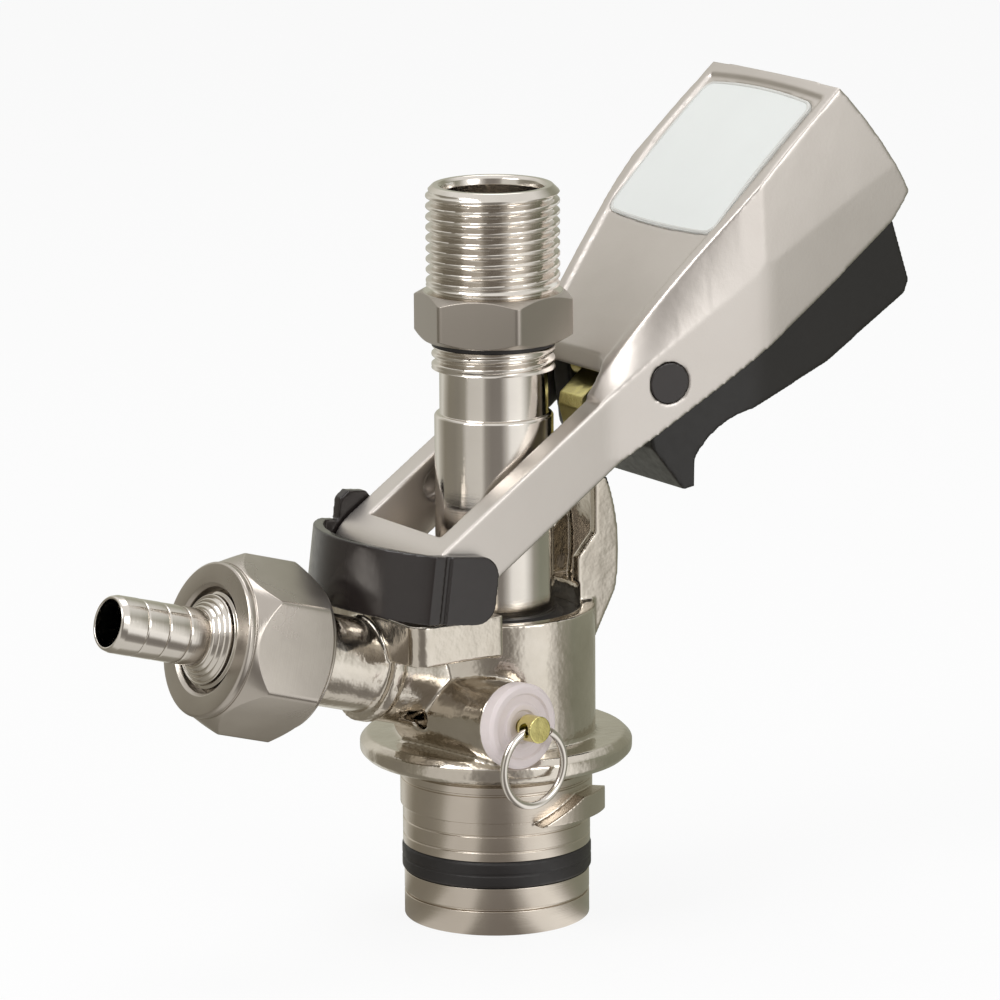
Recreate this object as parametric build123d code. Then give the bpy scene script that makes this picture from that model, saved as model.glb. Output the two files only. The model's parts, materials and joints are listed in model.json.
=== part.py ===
"""Keg coupler: cast body with lever, spring trigger, sliding beer probe and gas inlet.

Units are millimetres. Origin: centre of the keg spigot's bottom face. +Z runs up along
the probe, +X points to the handle, -X to the gas inlet, -Y to the relief valve.
"""
from build123d import *
import os
from math import atan2, cos, degrees, hypot, radians, sin, sqrt, tan

os.makedirs("parts", exist_ok=True)

# ---- running and seating clearances ----
RUN = 0.06          # radial clearance of a turning or sliding fit
SEAT = 0.05         # clearance of a seated piece

# ---- keg spigot and cast body ----
SPIGOT_R = 16.0
SPIGOT_UPPER_R = 16.2
SPIGOT_STEP_R = 16.6
SPIGOT_STEP_Z = 20.0
SPIGOT_TOP = 26.3
LINE_GROOVE_Z = 4.2
LINE_GROOVE = 0.5
SEAL_Z0 = 8.3
SEAL_Z1 = 13.1
SEAL_DEPTH = 2.2
SEAL_PROUD = 0.35
LUG_COUNT = 2
LUG_TURN = 155.0
LUG_RAMP = 30.0
LUG_R = 19.2
LUG_Z0 = 19.4
LUG_Z1 = 23.4
LUG_START = -100.0
LUG_END = -45.0
NECK_R = 15.2
FLANGE_R = 23.5
FLANGE_Z0 = 28.3
FLANGE_Z1 = 32.5
FLANGE_ROUND = 1.2
BODY_R = 17.2
BODY_TOP = 54.8
CHAMBER_R = 12.6
CHAMBER_TOP = 44.5
CUP_R = 14.6
CUP_DEPTH = 2.6
WIPER_H = 2.0
WIPER_BASE = 1.2
WIPER_FOOT = 1.6
WIPER_LIP = 0.6
ORING_WIRE = 1.0
ORING_LOW_Z = 46.4
ORING_HIGH_Z = 50.2

# ---- beer probe ----
PROBE_R = 10.2
PROBE_LOW_R = 8.4
PROBE_BORE = 5.6
PROBE_STEP_Z = 41.0
PROBE_TIP_Z = 3.0
PROBE_SHOULDER_Z = 88.4
PROBE_NECK_R = 9.3
PROBE_COLLAR_R = 10.6
PROBE_COLLAR_Z = 96.3
PROBE_TOP = 100.4
TOP_BORE = 7.4
TOP_BORE_Z = 80.0
TIP_SEAL_R = 11.4
TIP_SEAL_H = 5.0
TIP_LIP = 0.8
PROBE_TRAVEL = 12.0
FOLLOWER_R = 2.4
FOLLOWER_REACH = 14.0
FOLLOWER_SEAT = 7.9

# ---- beer outlet: 5/8 inch parallel pipe thread ----
OUTLET_SEAL_H = 0.8
HEX_FLATS = 24.2
HEX_H = 8.4
HEX_TURN = 15.0
THREAD_R = 11.45
OUTLET_H = 26.6
OUTLET_BORE = 8.6
OUTLET_UNDERCUT_R = 10.2
OUTLET_UNDERCUT_H = 1.6
OUTLET_SPIGOT_R = 7.0
OUTLET_SPIGOT_H = 6.0
OUTLET_SPIGOT_BORE = 5.6

# ---- non-return ball in the probe's head ----
BALL_R = 6.4
BALL_LIFT = 2.5
CAGE_RIM = 1.3
CAGE_BAR = 1.8

# ---- lever ----
PIVOT_X = -15.0
PIVOT_Z = 63.0
LEVER_SWING = 40.0
ARM_RISE = 34.2
ARM_TOP = 8.35
ARM_LOW = 2.7
ARM_OUT = 16.0
ARM_IN = 11.2
HUB_LOW_R = 5.6
WEB_IN_R = 6.1
WEB_END = 165.0
PIN_R = 2.5
FOLLOWER_RISE = 13.5
SLOT_DEPTH = 3.2
OPENING_END_X = 16.6
OPENING_BACK = 12.0
OPENING_TOP = 106.0
HEAD_WALL = 2.4
ROOF_WALL = 1.8
HEAD_OUT = 20.8
HEAD_FRONT_X = 42.0
HEAD_REAR_OUT = 19.8
HEAD_REAR_X = 75.0
FLARE_X = 14.0
FLARE_ROUND = 25.0
FLARE_ALONG = 36.0
KEEL_FLOOR = 68.0
PLAN_PAST = 10.0
BLANK_RISE = 12.0
PLAN_H = 120.0
EDGE_FOOT = (11.4, 91.8)
EDGE_BULGE = 2.9
EDGE_FULL_X = 38.0
RIDGE_END = (59.0, 141.2)
CROWN_SAG = 1.1
DRAFT = 1.2
BEAD = 2.3
PANEL_SINK = 0.7
PANEL_START_X = 14.0
PANEL_END_X = 56.8
HEAD_DROP = 4.2
OPENING_ROUND = 4.0
REAR_MID = (65.9, 133.3)
REAR_CORNER = (73.2, 122.2)
KEEL_REAR = (69.6, 117.4)
KEEL_MID = (50.0, 102.9)
CREST_STEP = (-6.0, 6.5)

# ---- label plate on the head ----
LABEL_LOW = (33.6, 118.4)
LABEL_HIGH = (54.8, 139.3)
LABEL_HALF = 15.9
LABEL_T = 1.2
LABEL_CORNER = 2.4
LABEL_BULGE = 0.9
LABEL_REACH = 6.0
LABEL_PROUD = 0.35

# ---- trigger ----
TRIGGER_X = 24.3
TRIGGER_Z = 93.5
TRIGGER_SIDE_AIR = 0.5
TRIGGER_WALL = 2.2
TRIGGER_PIN_R = 1.6
TRIGGER_HEAD_R = 3.5
TRIGGER_HEAD_T = 1.1
TRIGGER_PIN_HALF = 17.1
TRIGGER_EAR_IN = 9.0
TRIGGER_EAR_R = 3.05
TRIGGER_POCKET = 5.6
HOOK_FRONT = (22.9, 81.7)
HOOK_TIP = (28.7, 74.0)
HOOK_HEEL = (30.6, 74.3)
FINGER_LOW = (30.9, 79.4)
FINGER_MID = (34.2, 83.4)
FINGER_END = (41.5, 86.9)
GRIP_MID = (57.5, 93.4)
GRIP_LOW = (74.3, 103.7)
GRIP_REAR = (75.2, 106.0)
GRIP_TOP = (71.2, 118.0)
GRIP_NECK = (31.0, 97.4)
GRIP_ROOF = (66.0, 119.0)
GRIP_FLOOR = ((34.0, 88.5), (41.5, 89.9), (56.5, 96.2), (72.4, 107.2))
GRIP_MOUTH = ((69.4, 124.0), (33.0, 110.0))
PAWL_HALF = 3.5
PAWL_NOSE = ((15.8, 89.6), (15.4, 87.4), (17.4, 80.6), (19.4, 80.2), (20.0, 87.8))
PAWL_HUB_R = 3.05
PAWL_SPACER = 8.6
SPRING_MEAN_R = 2.6
SPRING_WIRE_R = 0.75
SPRING_TURNS = 3

# ---- hinge ears, saddle, clip and pins ----
EAR_HALF = 10.7
EAR_FRONT_X = -11.1
EAR_R = 4.4
SADDLE_X0 = -26.5
SADDLE_X1 = -9.0
SADDLE_HALF = 16.4
SADDLE_Z0 = 50.0
SADDLE_Z1 = 57.0
SADDLE_ROUND = 3.0
CLIP_IN = 16.5
CLIP_T = 2.1
CLIP_Z0 = 56.6
CLIP_Z1 = 68.3
CLIP_TILT = 7.5
CLIP_GROOVE_X = -21.7
CLIP_GROOVE_W = 1.2
CLIP_GROOVE_T = 0.5
CLIP_END_X = -11.4
CLIP_BEND_X = -24.5
CLIP_BOW_X = -33.0
CLIP_ROUND = 3.6
CLIP_SEAT = 1.0
TAB_TOP = 73.4
TAB_X0 = -22.0
TAB_X1 = -15.5

# ---- tower behind the probe ----
TOWER_HALF = 7.0
TOWER_SWEEP_R = 36.0
TOWER_TOP = 76.0
TOWER_FOOT_X = 12.6
TOWER_HEAD_X = 16.2
TOWER_FOOT_TOP = 62.5
TOWER_HEAD_LOW = 66.6
TOWER_LOW_TOP = 56.0
TOWER_ROOT = 48.3
TOWER_BACK_T = 2.2
TOWER_CHEEK_T = 2.0
TOWER_FLOOR = 57.0

# ---- gas inlet ----
GAS_RISE = 16.0
GAS_Z = 39.8
GAS_BOSS_R = 8.9
GAS_BOSS_L = 25.5
GAS_RING_R = 9.4
GAS_RING_L = 2.2
GAS_TUBE_R = 8.0
GAS_STUB_R = 10.3
GAS_STUB_L0 = 43.0
GAS_STUB_L1 = 50.0
GAS_BORE = 5.0
VALVE_BORE = 6.4
VALVE_L = 12.0
WASHER_T = 1.5
NUT_OVERLAP = 8.0
NUT_FLATS = 26.9
NUT_LIP = 3.2
NUT_MOUTH_R = 9.0
NUT_CHAMFER = 4.0
NUT_FACE_R = 13.1
NUT_TURN = 38.0
TAIL_COLLAR_R = 10.2
TAIL_COLLAR_H = 5.25
TAIL_HUB_R = 6.6
TAIL_HUB_H = 2.2
TAIL_R = 4.9
TAIL_BORE = 4.0
TAIL_OUT = 19.5
BARB_COUNT = 4
BARB_PITCH = 4.2
BARB_RISE = 0.35
BARB_LAND = 1.5

# ---- relief valve ----
RELIEF_FACE = (-9.9, -24.0, 39.4)
RELIEF_TURN = -7.0
RELIEF_DROP = -3.0
RELIEF_R = 7.0
RELIEF_BARREL_L = 24.0
RELIEF_CAP_R = 7.3
RELIEF_CAP_T = 3.0
RELIEF_PLUG = 2.0
RELIEF_BORE = 4.8
RELIEF_DEPTH = 10.5
RELIEF_SEAT_R = 2.0
RELIEF_SEAT_L = 10.0
RELIEF_STEM_R = 1.3
RELIEF_STEM_OUT = 4.2
RELIEF_KNOB_R = 2.3
KNOB_HALF = 1.7
RELIEF_POPPET_R = 4.2
RELIEF_POPPET_T = 1.2
RELIEF_SEAL_T = 1.2
RELIEF_LIFT = 1.4
VENT_R = 1.9
VENT_BACK = 19.3
VENT_WAY_R = 1.0
VENT_WAY_OUT = 3.3
RING_R = 6.6
RING_WIRE_R = 0.7
RING_HOLE_R = 1.2


# ---- small helpers ----
def pivot_point(radius, angle):
    """Point at a radius and angle about the lever pivot, in the XZ plane."""
    return (PIVOT_X + radius * cos(radians(angle)), PIVOT_Z + radius * sin(radians(angle)))


def arm_point(along, across):
    """Point of the lever's arm: along its rise from the pivot, and across it."""
    rise = radians(ARM_RISE)
    x = PIVOT_X + along * cos(rise) - across * sin(rise)
    z = PIVOT_Z + along * sin(rise) + across * cos(rise)
    return (x, z)


def arm_height(x, across):
    """Height at x of the line that runs up the arm, across from the pivot line."""
    rise = radians(ARM_RISE)
    return PIVOT_Z + (x - PIVOT_X) * tan(rise) + across / cos(rise)


def slab(edges, half):
    """Solid of an XZ outline, reaching half to each side of the plane y = 0."""
    with BuildPart() as made:
        with BuildSketch(Plane.XZ):
            with BuildLine():
                for edge in edges:
                    add(edge)
            make_face()
        extrude(amount=half, both=True)
    return made.part


def line(p, q):
    return Line(p, q)


def arc(p, m, q):
    return ThreePointArc(p, m, q)


def rod(plane, radius, start, end):
    """Cylinder about a plane's normal, from start to end along it."""
    with BuildPart() as made:
        with BuildSketch(plane.offset(start)):
            Circle(radius)
        extrude(amount=end - start)
    return made.part


def tube(plane, outer, inner, start, end):
    return rod(plane, outer, start, end) - rod(plane, inner, start, end)


def hexagon(plane, flats, start, end, turn=0.0):
    with BuildPart() as made:
        with BuildSketch(plane.offset(start)):
            RegularPolygon(flats / 2, 6, major_radius=False, rotation=turn)
        extrude(amount=end - start)
    return made.part


def lathe(points, plane):
    """Solid turned about a plane's normal from (radius, height) points."""
    with BuildPart() as made:
        with BuildSketch(Plane(plane.origin, x_dir=plane.x_dir, z_dir=-plane.y_dir)):
            with BuildLine():
                Polyline(*points, close=True)
            make_face()
        revolve(axis=Axis(plane.origin, plane.z_dir))
    return made.part


def box(x0, x1, y0, y1, z0, z1):
    with BuildPart() as made:
        with Locations(((x0 + x1) / 2, (y0 + y1) / 2, (z0 + z1) / 2)):
            Box(x1 - x0, y1 - y0, z1 - z0)
    return made.part


# ---- reference planes ----
UP = Plane.XY
SIDE = Plane((PIVOT_X, 0, PIVOT_Z), x_dir=(1, 0, 0), z_dir=(0, -1, 0))
TRIGGER_PLANE = Plane((TRIGGER_X, 0, TRIGGER_Z), x_dir=(1, 0, 0), z_dir=(0, -1, 0))
GAS_DIR = Vector(-cos(radians(GAS_RISE)), 0, sin(radians(GAS_RISE)))
GAS = Plane((0, 0, GAS_Z), x_dir=(0, -1, 0), z_dir=GAS_DIR)
RELIEF_OUT = Vector(
    -sin(radians(RELIEF_TURN)) * cos(radians(RELIEF_DROP)),
    -cos(radians(RELIEF_TURN)) * cos(radians(RELIEF_DROP)),
    -sin(radians(RELIEF_DROP)),
)
RELIEF_SIDE = Vector(cos(radians(RELIEF_TURN)), -sin(radians(RELIEF_TURN)), 0)
RELIEF = Plane(RELIEF_FACE, x_dir=RELIEF_SIDE, z_dir=RELIEF_OUT)


# ---- cast body ----
def turned_body():
    """Spigot, neck, flange and casting, turned about the probe axis."""
    groove_top = LINE_GROOVE_Z + LINE_GROOVE
    points = [
        (0, 0),
        (SPIGOT_R, 0),
        (SPIGOT_R, LINE_GROOVE_Z),
        (SPIGOT_R - LINE_GROOVE, LINE_GROOVE_Z),
        (SPIGOT_R - LINE_GROOVE, groove_top),
        (SPIGOT_R, groove_top),
        (SPIGOT_R, SEAL_Z0),
        (SPIGOT_R - SEAL_DEPTH, SEAL_Z0),
        (SPIGOT_R - SEAL_DEPTH, SEAL_Z1),
        (SPIGOT_UPPER_R, SEAL_Z1),
        (SPIGOT_UPPER_R, SPIGOT_STEP_Z),
        (SPIGOT_STEP_R, SPIGOT_STEP_Z),
        (SPIGOT_STEP_R, SPIGOT_TOP),
        (NECK_R, SPIGOT_TOP),
        (NECK_R, FLANGE_Z0),
        (FLANGE_R - FLANGE_ROUND, FLANGE_Z0),
        (FLANGE_R, FLANGE_Z0 + FLANGE_ROUND),
        (FLANGE_R, FLANGE_Z1 - FLANGE_ROUND),
        (FLANGE_R - FLANGE_ROUND, FLANGE_Z1),
        (BODY_R, FLANGE_Z1),
        (BODY_R, BODY_TOP),
        (0, BODY_TOP),
    ]
    return lathe(points, UP)


def keg_lugs():
    """Bayonet lugs that turn under the keg neck's flange."""
    with BuildPart() as lug:
        with BuildSketch(Plane.XZ):
            with BuildLine():
                Polyline(
                    (SPIGOT_R - 1, LUG_Z0),
                    (LUG_R, LUG_Z0),
                    (LUG_R, LUG_Z1),
                    (SPIGOT_R - 1, LUG_Z1),
                    close=True,
                )
            make_face()
        revolve(axis=Axis.Z, revolution_arc=LUG_END - LUG_START)
    return [Rot(0, 0, LUG_START + i * LUG_TURN) * (lug.part - lug_ramp()) for i in range(LUG_COUNT)]


def lug_ramp():
    """Space over the sloped start of a lug that begins on the +X axis."""
    middle = (LUG_R + SPIGOT_R) / 2
    rise = LUG_Z1 - LUG_Z0
    slope = atan2(rise, middle * radians(LUG_RAMP))
    turn = radians(LUG_RAMP / 2)
    radial = Vector(cos(turn), sin(turn), 0)
    uphill = Vector(-sin(turn) * cos(slope), cos(turn) * cos(slope), sin(slope))
    foot = Plane(
        radial * middle + Vector(0, 0, LUG_Z0 + rise / 2), x_dir=uphill, z_dir=radial.cross(uphill)
    )
    with BuildPart() as space:
        with BuildSketch(foot):
            Rectangle(4 * rise + middle, middle)
        extrude(amount=2 * rise)
    return space.part


def tower():
    """Guide wall behind the probe; its back follows the sweep of the trigger about the pivot."""
    top_x = PIVOT_X + sqrt(TOWER_SWEEP_R**2 - (TOWER_TOP - PIVOT_Z) ** 2)
    low_x = PIVOT_X + sqrt(TOWER_SWEEP_R**2 - (TOWER_LOW_TOP - PIVOT_Z) ** 2)
    edges = [
        line((TOWER_FOOT_X, TOWER_ROOT), (TOWER_FOOT_X, TOWER_FOOT_TOP)),
        line((TOWER_FOOT_X, TOWER_FOOT_TOP), (TOWER_HEAD_X, TOWER_HEAD_LOW)),
        line((TOWER_HEAD_X, TOWER_HEAD_LOW), (TOWER_HEAD_X, TOWER_TOP)),
        line((TOWER_HEAD_X, TOWER_TOP), (top_x, TOWER_TOP)),
        arc((top_x, TOWER_TOP), (PIVOT_X + TOWER_SWEEP_R, PIVOT_Z), (low_x, TOWER_LOW_TOP)),
        line((low_x, TOWER_LOW_TOP), (BODY_R - 1, TOWER_ROOT)),
        line((BODY_R - 1, TOWER_ROOT), (TOWER_FOOT_X, TOWER_ROOT)),
    ]
    return slab(edges, TOWER_HALF) - tower_channel()


def tower_channel():
    """Hollow of the tower, open towards the probe and at the top."""
    back = TOWER_SWEEP_R - TOWER_BACK_T
    over = TOWER_TOP + 1
    low_x = PIVOT_X + sqrt(back**2 - (TOWER_FLOOR - PIVOT_Z) ** 2)
    top_x = PIVOT_X + sqrt(back**2 - (over - PIVOT_Z) ** 2)
    edges = [
        line((TOWER_FOOT_X - 1, TOWER_FLOOR), (TOWER_FOOT_X - 1, over)),
        line((TOWER_FOOT_X - 1, over), (top_x, over)),
        arc((top_x, over), (PIVOT_X + back, PIVOT_Z), (low_x, TOWER_FLOOR)),
        line((low_x, TOWER_FLOOR), (TOWER_FOOT_X - 1, TOWER_FLOOR)),
    ]
    return slab(edges, TOWER_HALF - TOWER_CHEEK_T)


def hinge_ears():
    """Block that carries the two hinge pins, on the gas side of the probe."""
    back_x = PIVOT_X - EAR_R
    front_z = PIVOT_Z + sqrt(EAR_R**2 - (EAR_FRONT_X - PIVOT_X) ** 2)
    edges = [
        line((EAR_FRONT_X, SADDLE_Z0), (EAR_FRONT_X, front_z)),
        arc((EAR_FRONT_X, front_z), (PIVOT_X, PIVOT_Z + EAR_R), (back_x, PIVOT_Z)),
        line((back_x, PIVOT_Z), (back_x, SADDLE_Z0)),
        line((back_x, SADDLE_Z0), (EAR_FRONT_X, SADDLE_Z0)),
    ]
    return slab(edges, EAR_HALF)


def hinge_saddle():
    """Wide shoulder under the hinge clip."""
    block = box(SADDLE_X0, SADDLE_X1, -SADDLE_HALF, SADDLE_HALF, SADDLE_Z0, SADDLE_Z1)
    return fillet(block.edges().filter_by(Axis.Z).group_by(Axis.X)[0], SADDLE_ROUND)


def gas_inlet_outside():
    boss = rod(GAS, GAS_BOSS_R, 0, GAS_BOSS_L)
    ring = rod(GAS, GAS_RING_R, GAS_BOSS_L, GAS_BOSS_L + GAS_RING_L)
    pipe = rod(GAS, GAS_TUBE_R, GAS_BOSS_L, GAS_STUB_L0)
    stub = rod(GAS, GAS_STUB_R, GAS_STUB_L0, GAS_STUB_L1)
    return [boss, ring, pipe, stub]


def relief_outside():
    """Relief barrel, which crosses under the gas inlet."""
    return rod(RELIEF, RELIEF_R, -RELIEF_CAP_T - RELIEF_BARREL_L, -RELIEF_CAP_T)


def gas_way():
    """Gas bore from the inlet's mouth to the chamber round the probe."""
    guide = rod(UP, CHAMBER_R, CHAMBER_TOP, BODY_TOP)
    bore = rod(GAS, GAS_BORE, CHAMBER_R - 2, GAS_STUB_L1) - guide
    pocket = rod(GAS, VALVE_BORE, GAS_STUB_L1 - VALVE_L, GAS_STUB_L1)
    return [bore, pocket]


def relief_way():
    """Valve pocket, its seat bore into the chamber, and the vent with the way that feeds it."""
    pocket = rod(RELIEF, RELIEF_BORE, -RELIEF_DEPTH, 0)
    seat = rod(RELIEF, RELIEF_SEAT_R, -RELIEF_DEPTH - RELIEF_SEAT_L, -RELIEF_DEPTH)
    beside = RELIEF.origin - RELIEF_SIDE * VENT_WAY_OUT
    way = rod(Plane(beside, z_dir=RELIEF_OUT), VENT_WAY_R, -VENT_BACK, -RELIEF_DEPTH)
    vent_foot = beside - RELIEF_OUT * VENT_BACK
    vent = rod(Plane(vent_foot, z_dir=-RELIEF_SIDE), VENT_R, 0, RELIEF_R)
    return [pocket, seat, way, vent]


def oring_groove(z):
    outer = PROBE_R + SEAT + 2 * ORING_WIRE + SEAT
    half = ORING_WIRE + SEAT
    return tube(UP, outer, PROBE_R - 1, z - half, z + half)


def coupler_body():
    body = turned_body()
    for piece in [*keg_lugs(), tower(), hinge_saddle(), *gas_inlet_outside(), relief_outside()]:
        body = body + piece
    body = body - rod(UP, CUP_R, BODY_TOP - CUP_DEPTH, SADDLE_Z1 + 1)
    ears = hinge_ears() - rod(UP, CUP_R, SADDLE_Z0 - 1, BODY_TOP)
    body = body + ears
    cuts = [
        rod(UP, CHAMBER_R, -1, CHAMBER_TOP),
        rod(UP, PROBE_R + RUN, -1, BODY_TOP),
        oring_groove(ORING_LOW_Z),
        oring_groove(ORING_HIGH_Z),
        *gas_way(),
        *relief_way(),
        rod(SIDE, PIN_R + SEAT, -EAR_HALF - 1, EAR_HALF + 1),
    ]
    for cut in cuts:
        body = body - cut
    return body


# ---- seals ----
def oring(z):
    with BuildPart() as ring:
        with Locations((0, 0, z)):
            Torus(PROBE_R + SEAT + ORING_WIRE, ORING_WIRE)
    return ring.part


def keg_seal():
    gap = SEAT
    return tube(UP, SPIGOT_R + SEAL_PROUD, SPIGOT_R - SEAL_DEPTH + gap, SEAL_Z0 + gap, SEAL_Z1 - gap)


def wiper_ring():
    floor = BODY_TOP - CUP_DEPTH
    points = [
        (PROBE_R + SEAT, floor),
        (CUP_R - SEAT, floor),
        (CUP_R - SEAT, floor + WIPER_BASE),
        (PROBE_R + WIPER_FOOT, floor + WIPER_BASE),
        (PROBE_R + WIPER_LIP, floor + WIPER_H),
        (PROBE_R + SEAT, floor + WIPER_H),
    ]
    return lathe(points, UP)


# ---- beer probe ----
FOLLOWER_Z = PIVOT_Z + FOLLOWER_RISE


def probe_body():
    """Sliding tube that opens the keg valve, bored for the beer."""
    points = [
        (PROBE_BORE, PROBE_TIP_Z),
        (PROBE_LOW_R + TIP_LIP, PROBE_TIP_Z),
        (PROBE_LOW_R + TIP_LIP, PROBE_TIP_Z + TIP_LIP),
        (PROBE_LOW_R, PROBE_TIP_Z + TIP_LIP),
        (PROBE_LOW_R, PROBE_STEP_Z),
        (PROBE_R, PROBE_STEP_Z + PROBE_R - PROBE_LOW_R),
        (PROBE_R, PROBE_SHOULDER_Z),
        (PROBE_NECK_R, PROBE_SHOULDER_Z),
        (PROBE_NECK_R, PROBE_COLLAR_Z),
        (PROBE_COLLAR_R, PROBE_COLLAR_Z),
        (PROBE_COLLAR_R, PROBE_TOP),
        (TOP_BORE, PROBE_TOP),
        (TOP_BORE, TOP_BORE_Z),
        (PROBE_BORE, TOP_BORE_Z - (TOP_BORE - PROBE_BORE)),
    ]
    probe = lathe(points, UP)
    cross = Plane((0, 0, FOLLOWER_Z), x_dir=(1, 0, 0), z_dir=(0, -1, 0))
    for side in (-1, 1):
        start, end = sorted((side * FOLLOWER_SEAT, side * (PROBE_R + 1)))
        probe = probe - rod(cross, FOLLOWER_R + SEAT, start, end)
    return probe


def follower(side):
    """Pin of the probe that runs in the cam slot of one lever arm; side -1 is -Y."""
    cross = Plane((0, 0, FOLLOWER_Z), x_dir=(1, 0, 0), z_dir=(0, side, 0))
    return rod(cross, FOLLOWER_R, FOLLOWER_SEAT + SEAT, FOLLOWER_REACH)


def tip_seal():
    """Rubber seal round the probe's tip, held between two shoulders."""
    low = PROBE_TIP_Z + TIP_LIP
    points = [
        (PROBE_LOW_R + SEAT, low),
        (TIP_SEAL_R - 1.2, low),
        (TIP_SEAL_R, low + 1.2),
        (TIP_SEAL_R, low + TIP_SEAL_H - 1.8),
        (PROBE_LOW_R + 1.0, low + TIP_SEAL_H),
        (PROBE_LOW_R + SEAT, low + TIP_SEAL_H),
    ]
    return lathe(points, UP)


OUTLET_Z0 = PROBE_TOP + OUTLET_SEAL_H
OUTLET_Z1 = OUTLET_Z0 + OUTLET_H


def outlet_seal():
    return tube(UP, PROBE_COLLAR_R, OUTLET_SPIGOT_R + SEAT, PROBE_TOP, OUTLET_Z0)


def outlet_fitting():
    """Hexagon with a pipe thread for the beer line's coupling nut."""
    hexagon_top = OUTLET_Z0 + HEX_H
    nut = hexagon(UP, HEX_FLATS, OUTLET_Z0, hexagon_top, turn=HEX_TURN)
    corner = HEX_FLATS / sqrt(3)
    cone = lathe(
        [
            (0, OUTLET_Z0),
            (HEX_FLATS / 2, OUTLET_Z0),
            (corner + 0.1, OUTLET_Z0 + 1.6),
            (corner + 0.1, hexagon_top - 1.6),
            (HEX_FLATS / 2, hexagon_top),
            (0, hexagon_top),
        ],
        UP,
    )
    threaded = lathe(
        [
            (0, hexagon_top),
            (OUTLET_UNDERCUT_R, hexagon_top),
            (OUTLET_UNDERCUT_R, hexagon_top + OUTLET_UNDERCUT_H),
            (THREAD_R, hexagon_top + OUTLET_UNDERCUT_H + 0.8),
            (THREAD_R, OUTLET_Z1 - 1.0),
            (THREAD_R - 1.0, OUTLET_Z1),
            (0, OUTLET_Z1),
        ],
        UP,
    )
    fitting = (nut & cone) + threaded + rod(UP, OUTLET_SPIGOT_R, OUTLET_Z0 - OUTLET_SPIGOT_H, OUTLET_Z0)
    fitting = fitting - rod(UP, OUTLET_BORE, hexagon_top, OUTLET_Z1)
    return fitting - rod(UP, OUTLET_SPIGOT_BORE, OUTLET_Z0 - OUTLET_SPIGOT_H, hexagon_top)


BALL_Z = TOP_BORE_Z - (TOP_BORE - PROBE_BORE) + sqrt(BALL_R**2 - PROBE_BORE**2) + SEAT
CAGE_Z0 = BALL_Z + BALL_R + BALL_LIFT + SEAT
CAGE_Z1 = OUTLET_Z0 - OUTLET_SPIGOT_H


def check_ball():
    """Ball that closes the beer bore when the keg is uncoupled."""
    with BuildPart() as ball:
        with Locations((0, 0, BALL_Z)):
            Sphere(BALL_R)
    return ball.part


def ball_cage():
    """Ring with a cross bar that keeps the ball below the outlet."""
    ring = tube(UP, TOP_BORE - SEAT, TOP_BORE - CAGE_RIM, CAGE_Z0, CAGE_Z1)
    reach = TOP_BORE - CAGE_RIM / 2
    bar = box(-reach, reach, -CAGE_BAR / 2, CAGE_BAR / 2, CAGE_Z0, CAGE_Z1)
    cross = box(-CAGE_BAR / 2, CAGE_BAR / 2, -reach, reach, CAGE_Z0, CAGE_Z1)
    return ring + bar + cross


# ---- lever ----
def edge_height(x):
    """Height of the head's long top edges."""
    run = RIDGE_END[0] - EDGE_FOOT[0]
    share = (x - EDGE_FOOT[0]) / run
    chord = EDGE_FOOT[1] + share * (RIDGE_END[1] - EDGE_FOOT[1])
    return chord + 4 * EDGE_BULGE * share * (1 - share) * (0 < share < 1)


def side_width(x):
    """Half width of the lever's plan, before its bends are rounded."""
    if x < FLARE_X:
        return ARM_OUT
    if x < HEAD_FRONT_X:
        return ARM_OUT + (HEAD_OUT - ARM_OUT) * (x - FLARE_X) / (HEAD_FRONT_X - FLARE_X)
    return HEAD_OUT - (HEAD_OUT - HEAD_REAR_OUT) * (x - HEAD_FRONT_X) / (HEAD_REAR_X - HEAD_FRONT_X)


def edge_width(x):
    """Half width between the head's long top edges."""
    if x > EDGE_FULL_X:
        return side_width(x) - DRAFT
    share = max(0, x - EDGE_FOOT[0]) / (EDGE_FULL_X - EDGE_FOOT[0])
    return ARM_IN + share * (side_width(EDGE_FULL_X) - DRAFT - ARM_IN)


def through(outlines, ruled):
    """Solid through closed outlines that stand square to the X axis."""
    with BuildPart() as made:
        for x, edges in outlines:
            with BuildSketch(Plane.YZ.offset(x)):
                with BuildLine():
                    for edge in edges:
                        add(edge)
                make_face()
        loft(ruled=ruled)
    return made.part


CROWN_STATIONS = (6.0, 16.0, 26.0, 36.0, 46.0, 56.0, 66.0, 86.0)
SIDE_STATIONS = (6.0, 14.0, 20.0, 26.0, 32.0, 38.0, 42.0, 60.0, 86.0)
FORM_FOOT = 50.0
FORM_HALF = 26.0
FORM_OVER = 1.5


def under_crown(drop):
    """All that lies under the head's slightly crowned top, lowered by drop."""
    outlines = []
    for x in CROWN_STATIONS:
        share = max(0.02, (x - EDGE_FOOT[0]) / (RIDGE_END[0] - EDGE_FOOT[0]))
        side = edge_height(x) - drop - CROWN_SAG * share * ((FORM_HALF / HEAD_OUT) ** 2 - 1)
        middle = edge_height(x) - drop + CROWN_SAG * share
        outlines.append(
            (
                x,
                [
                    line((-FORM_HALF, FORM_FOOT), (-FORM_HALF, side)),
                    arc((-FORM_HALF, side), (0, middle), (FORM_HALF, side)),
                    line((FORM_HALF, side), (FORM_HALF, FORM_FOOT)),
                    line((FORM_HALF, FORM_FOOT), (-FORM_HALF, FORM_FOOT)),
                ],
            )
        )
    return through(outlines, False)


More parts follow.
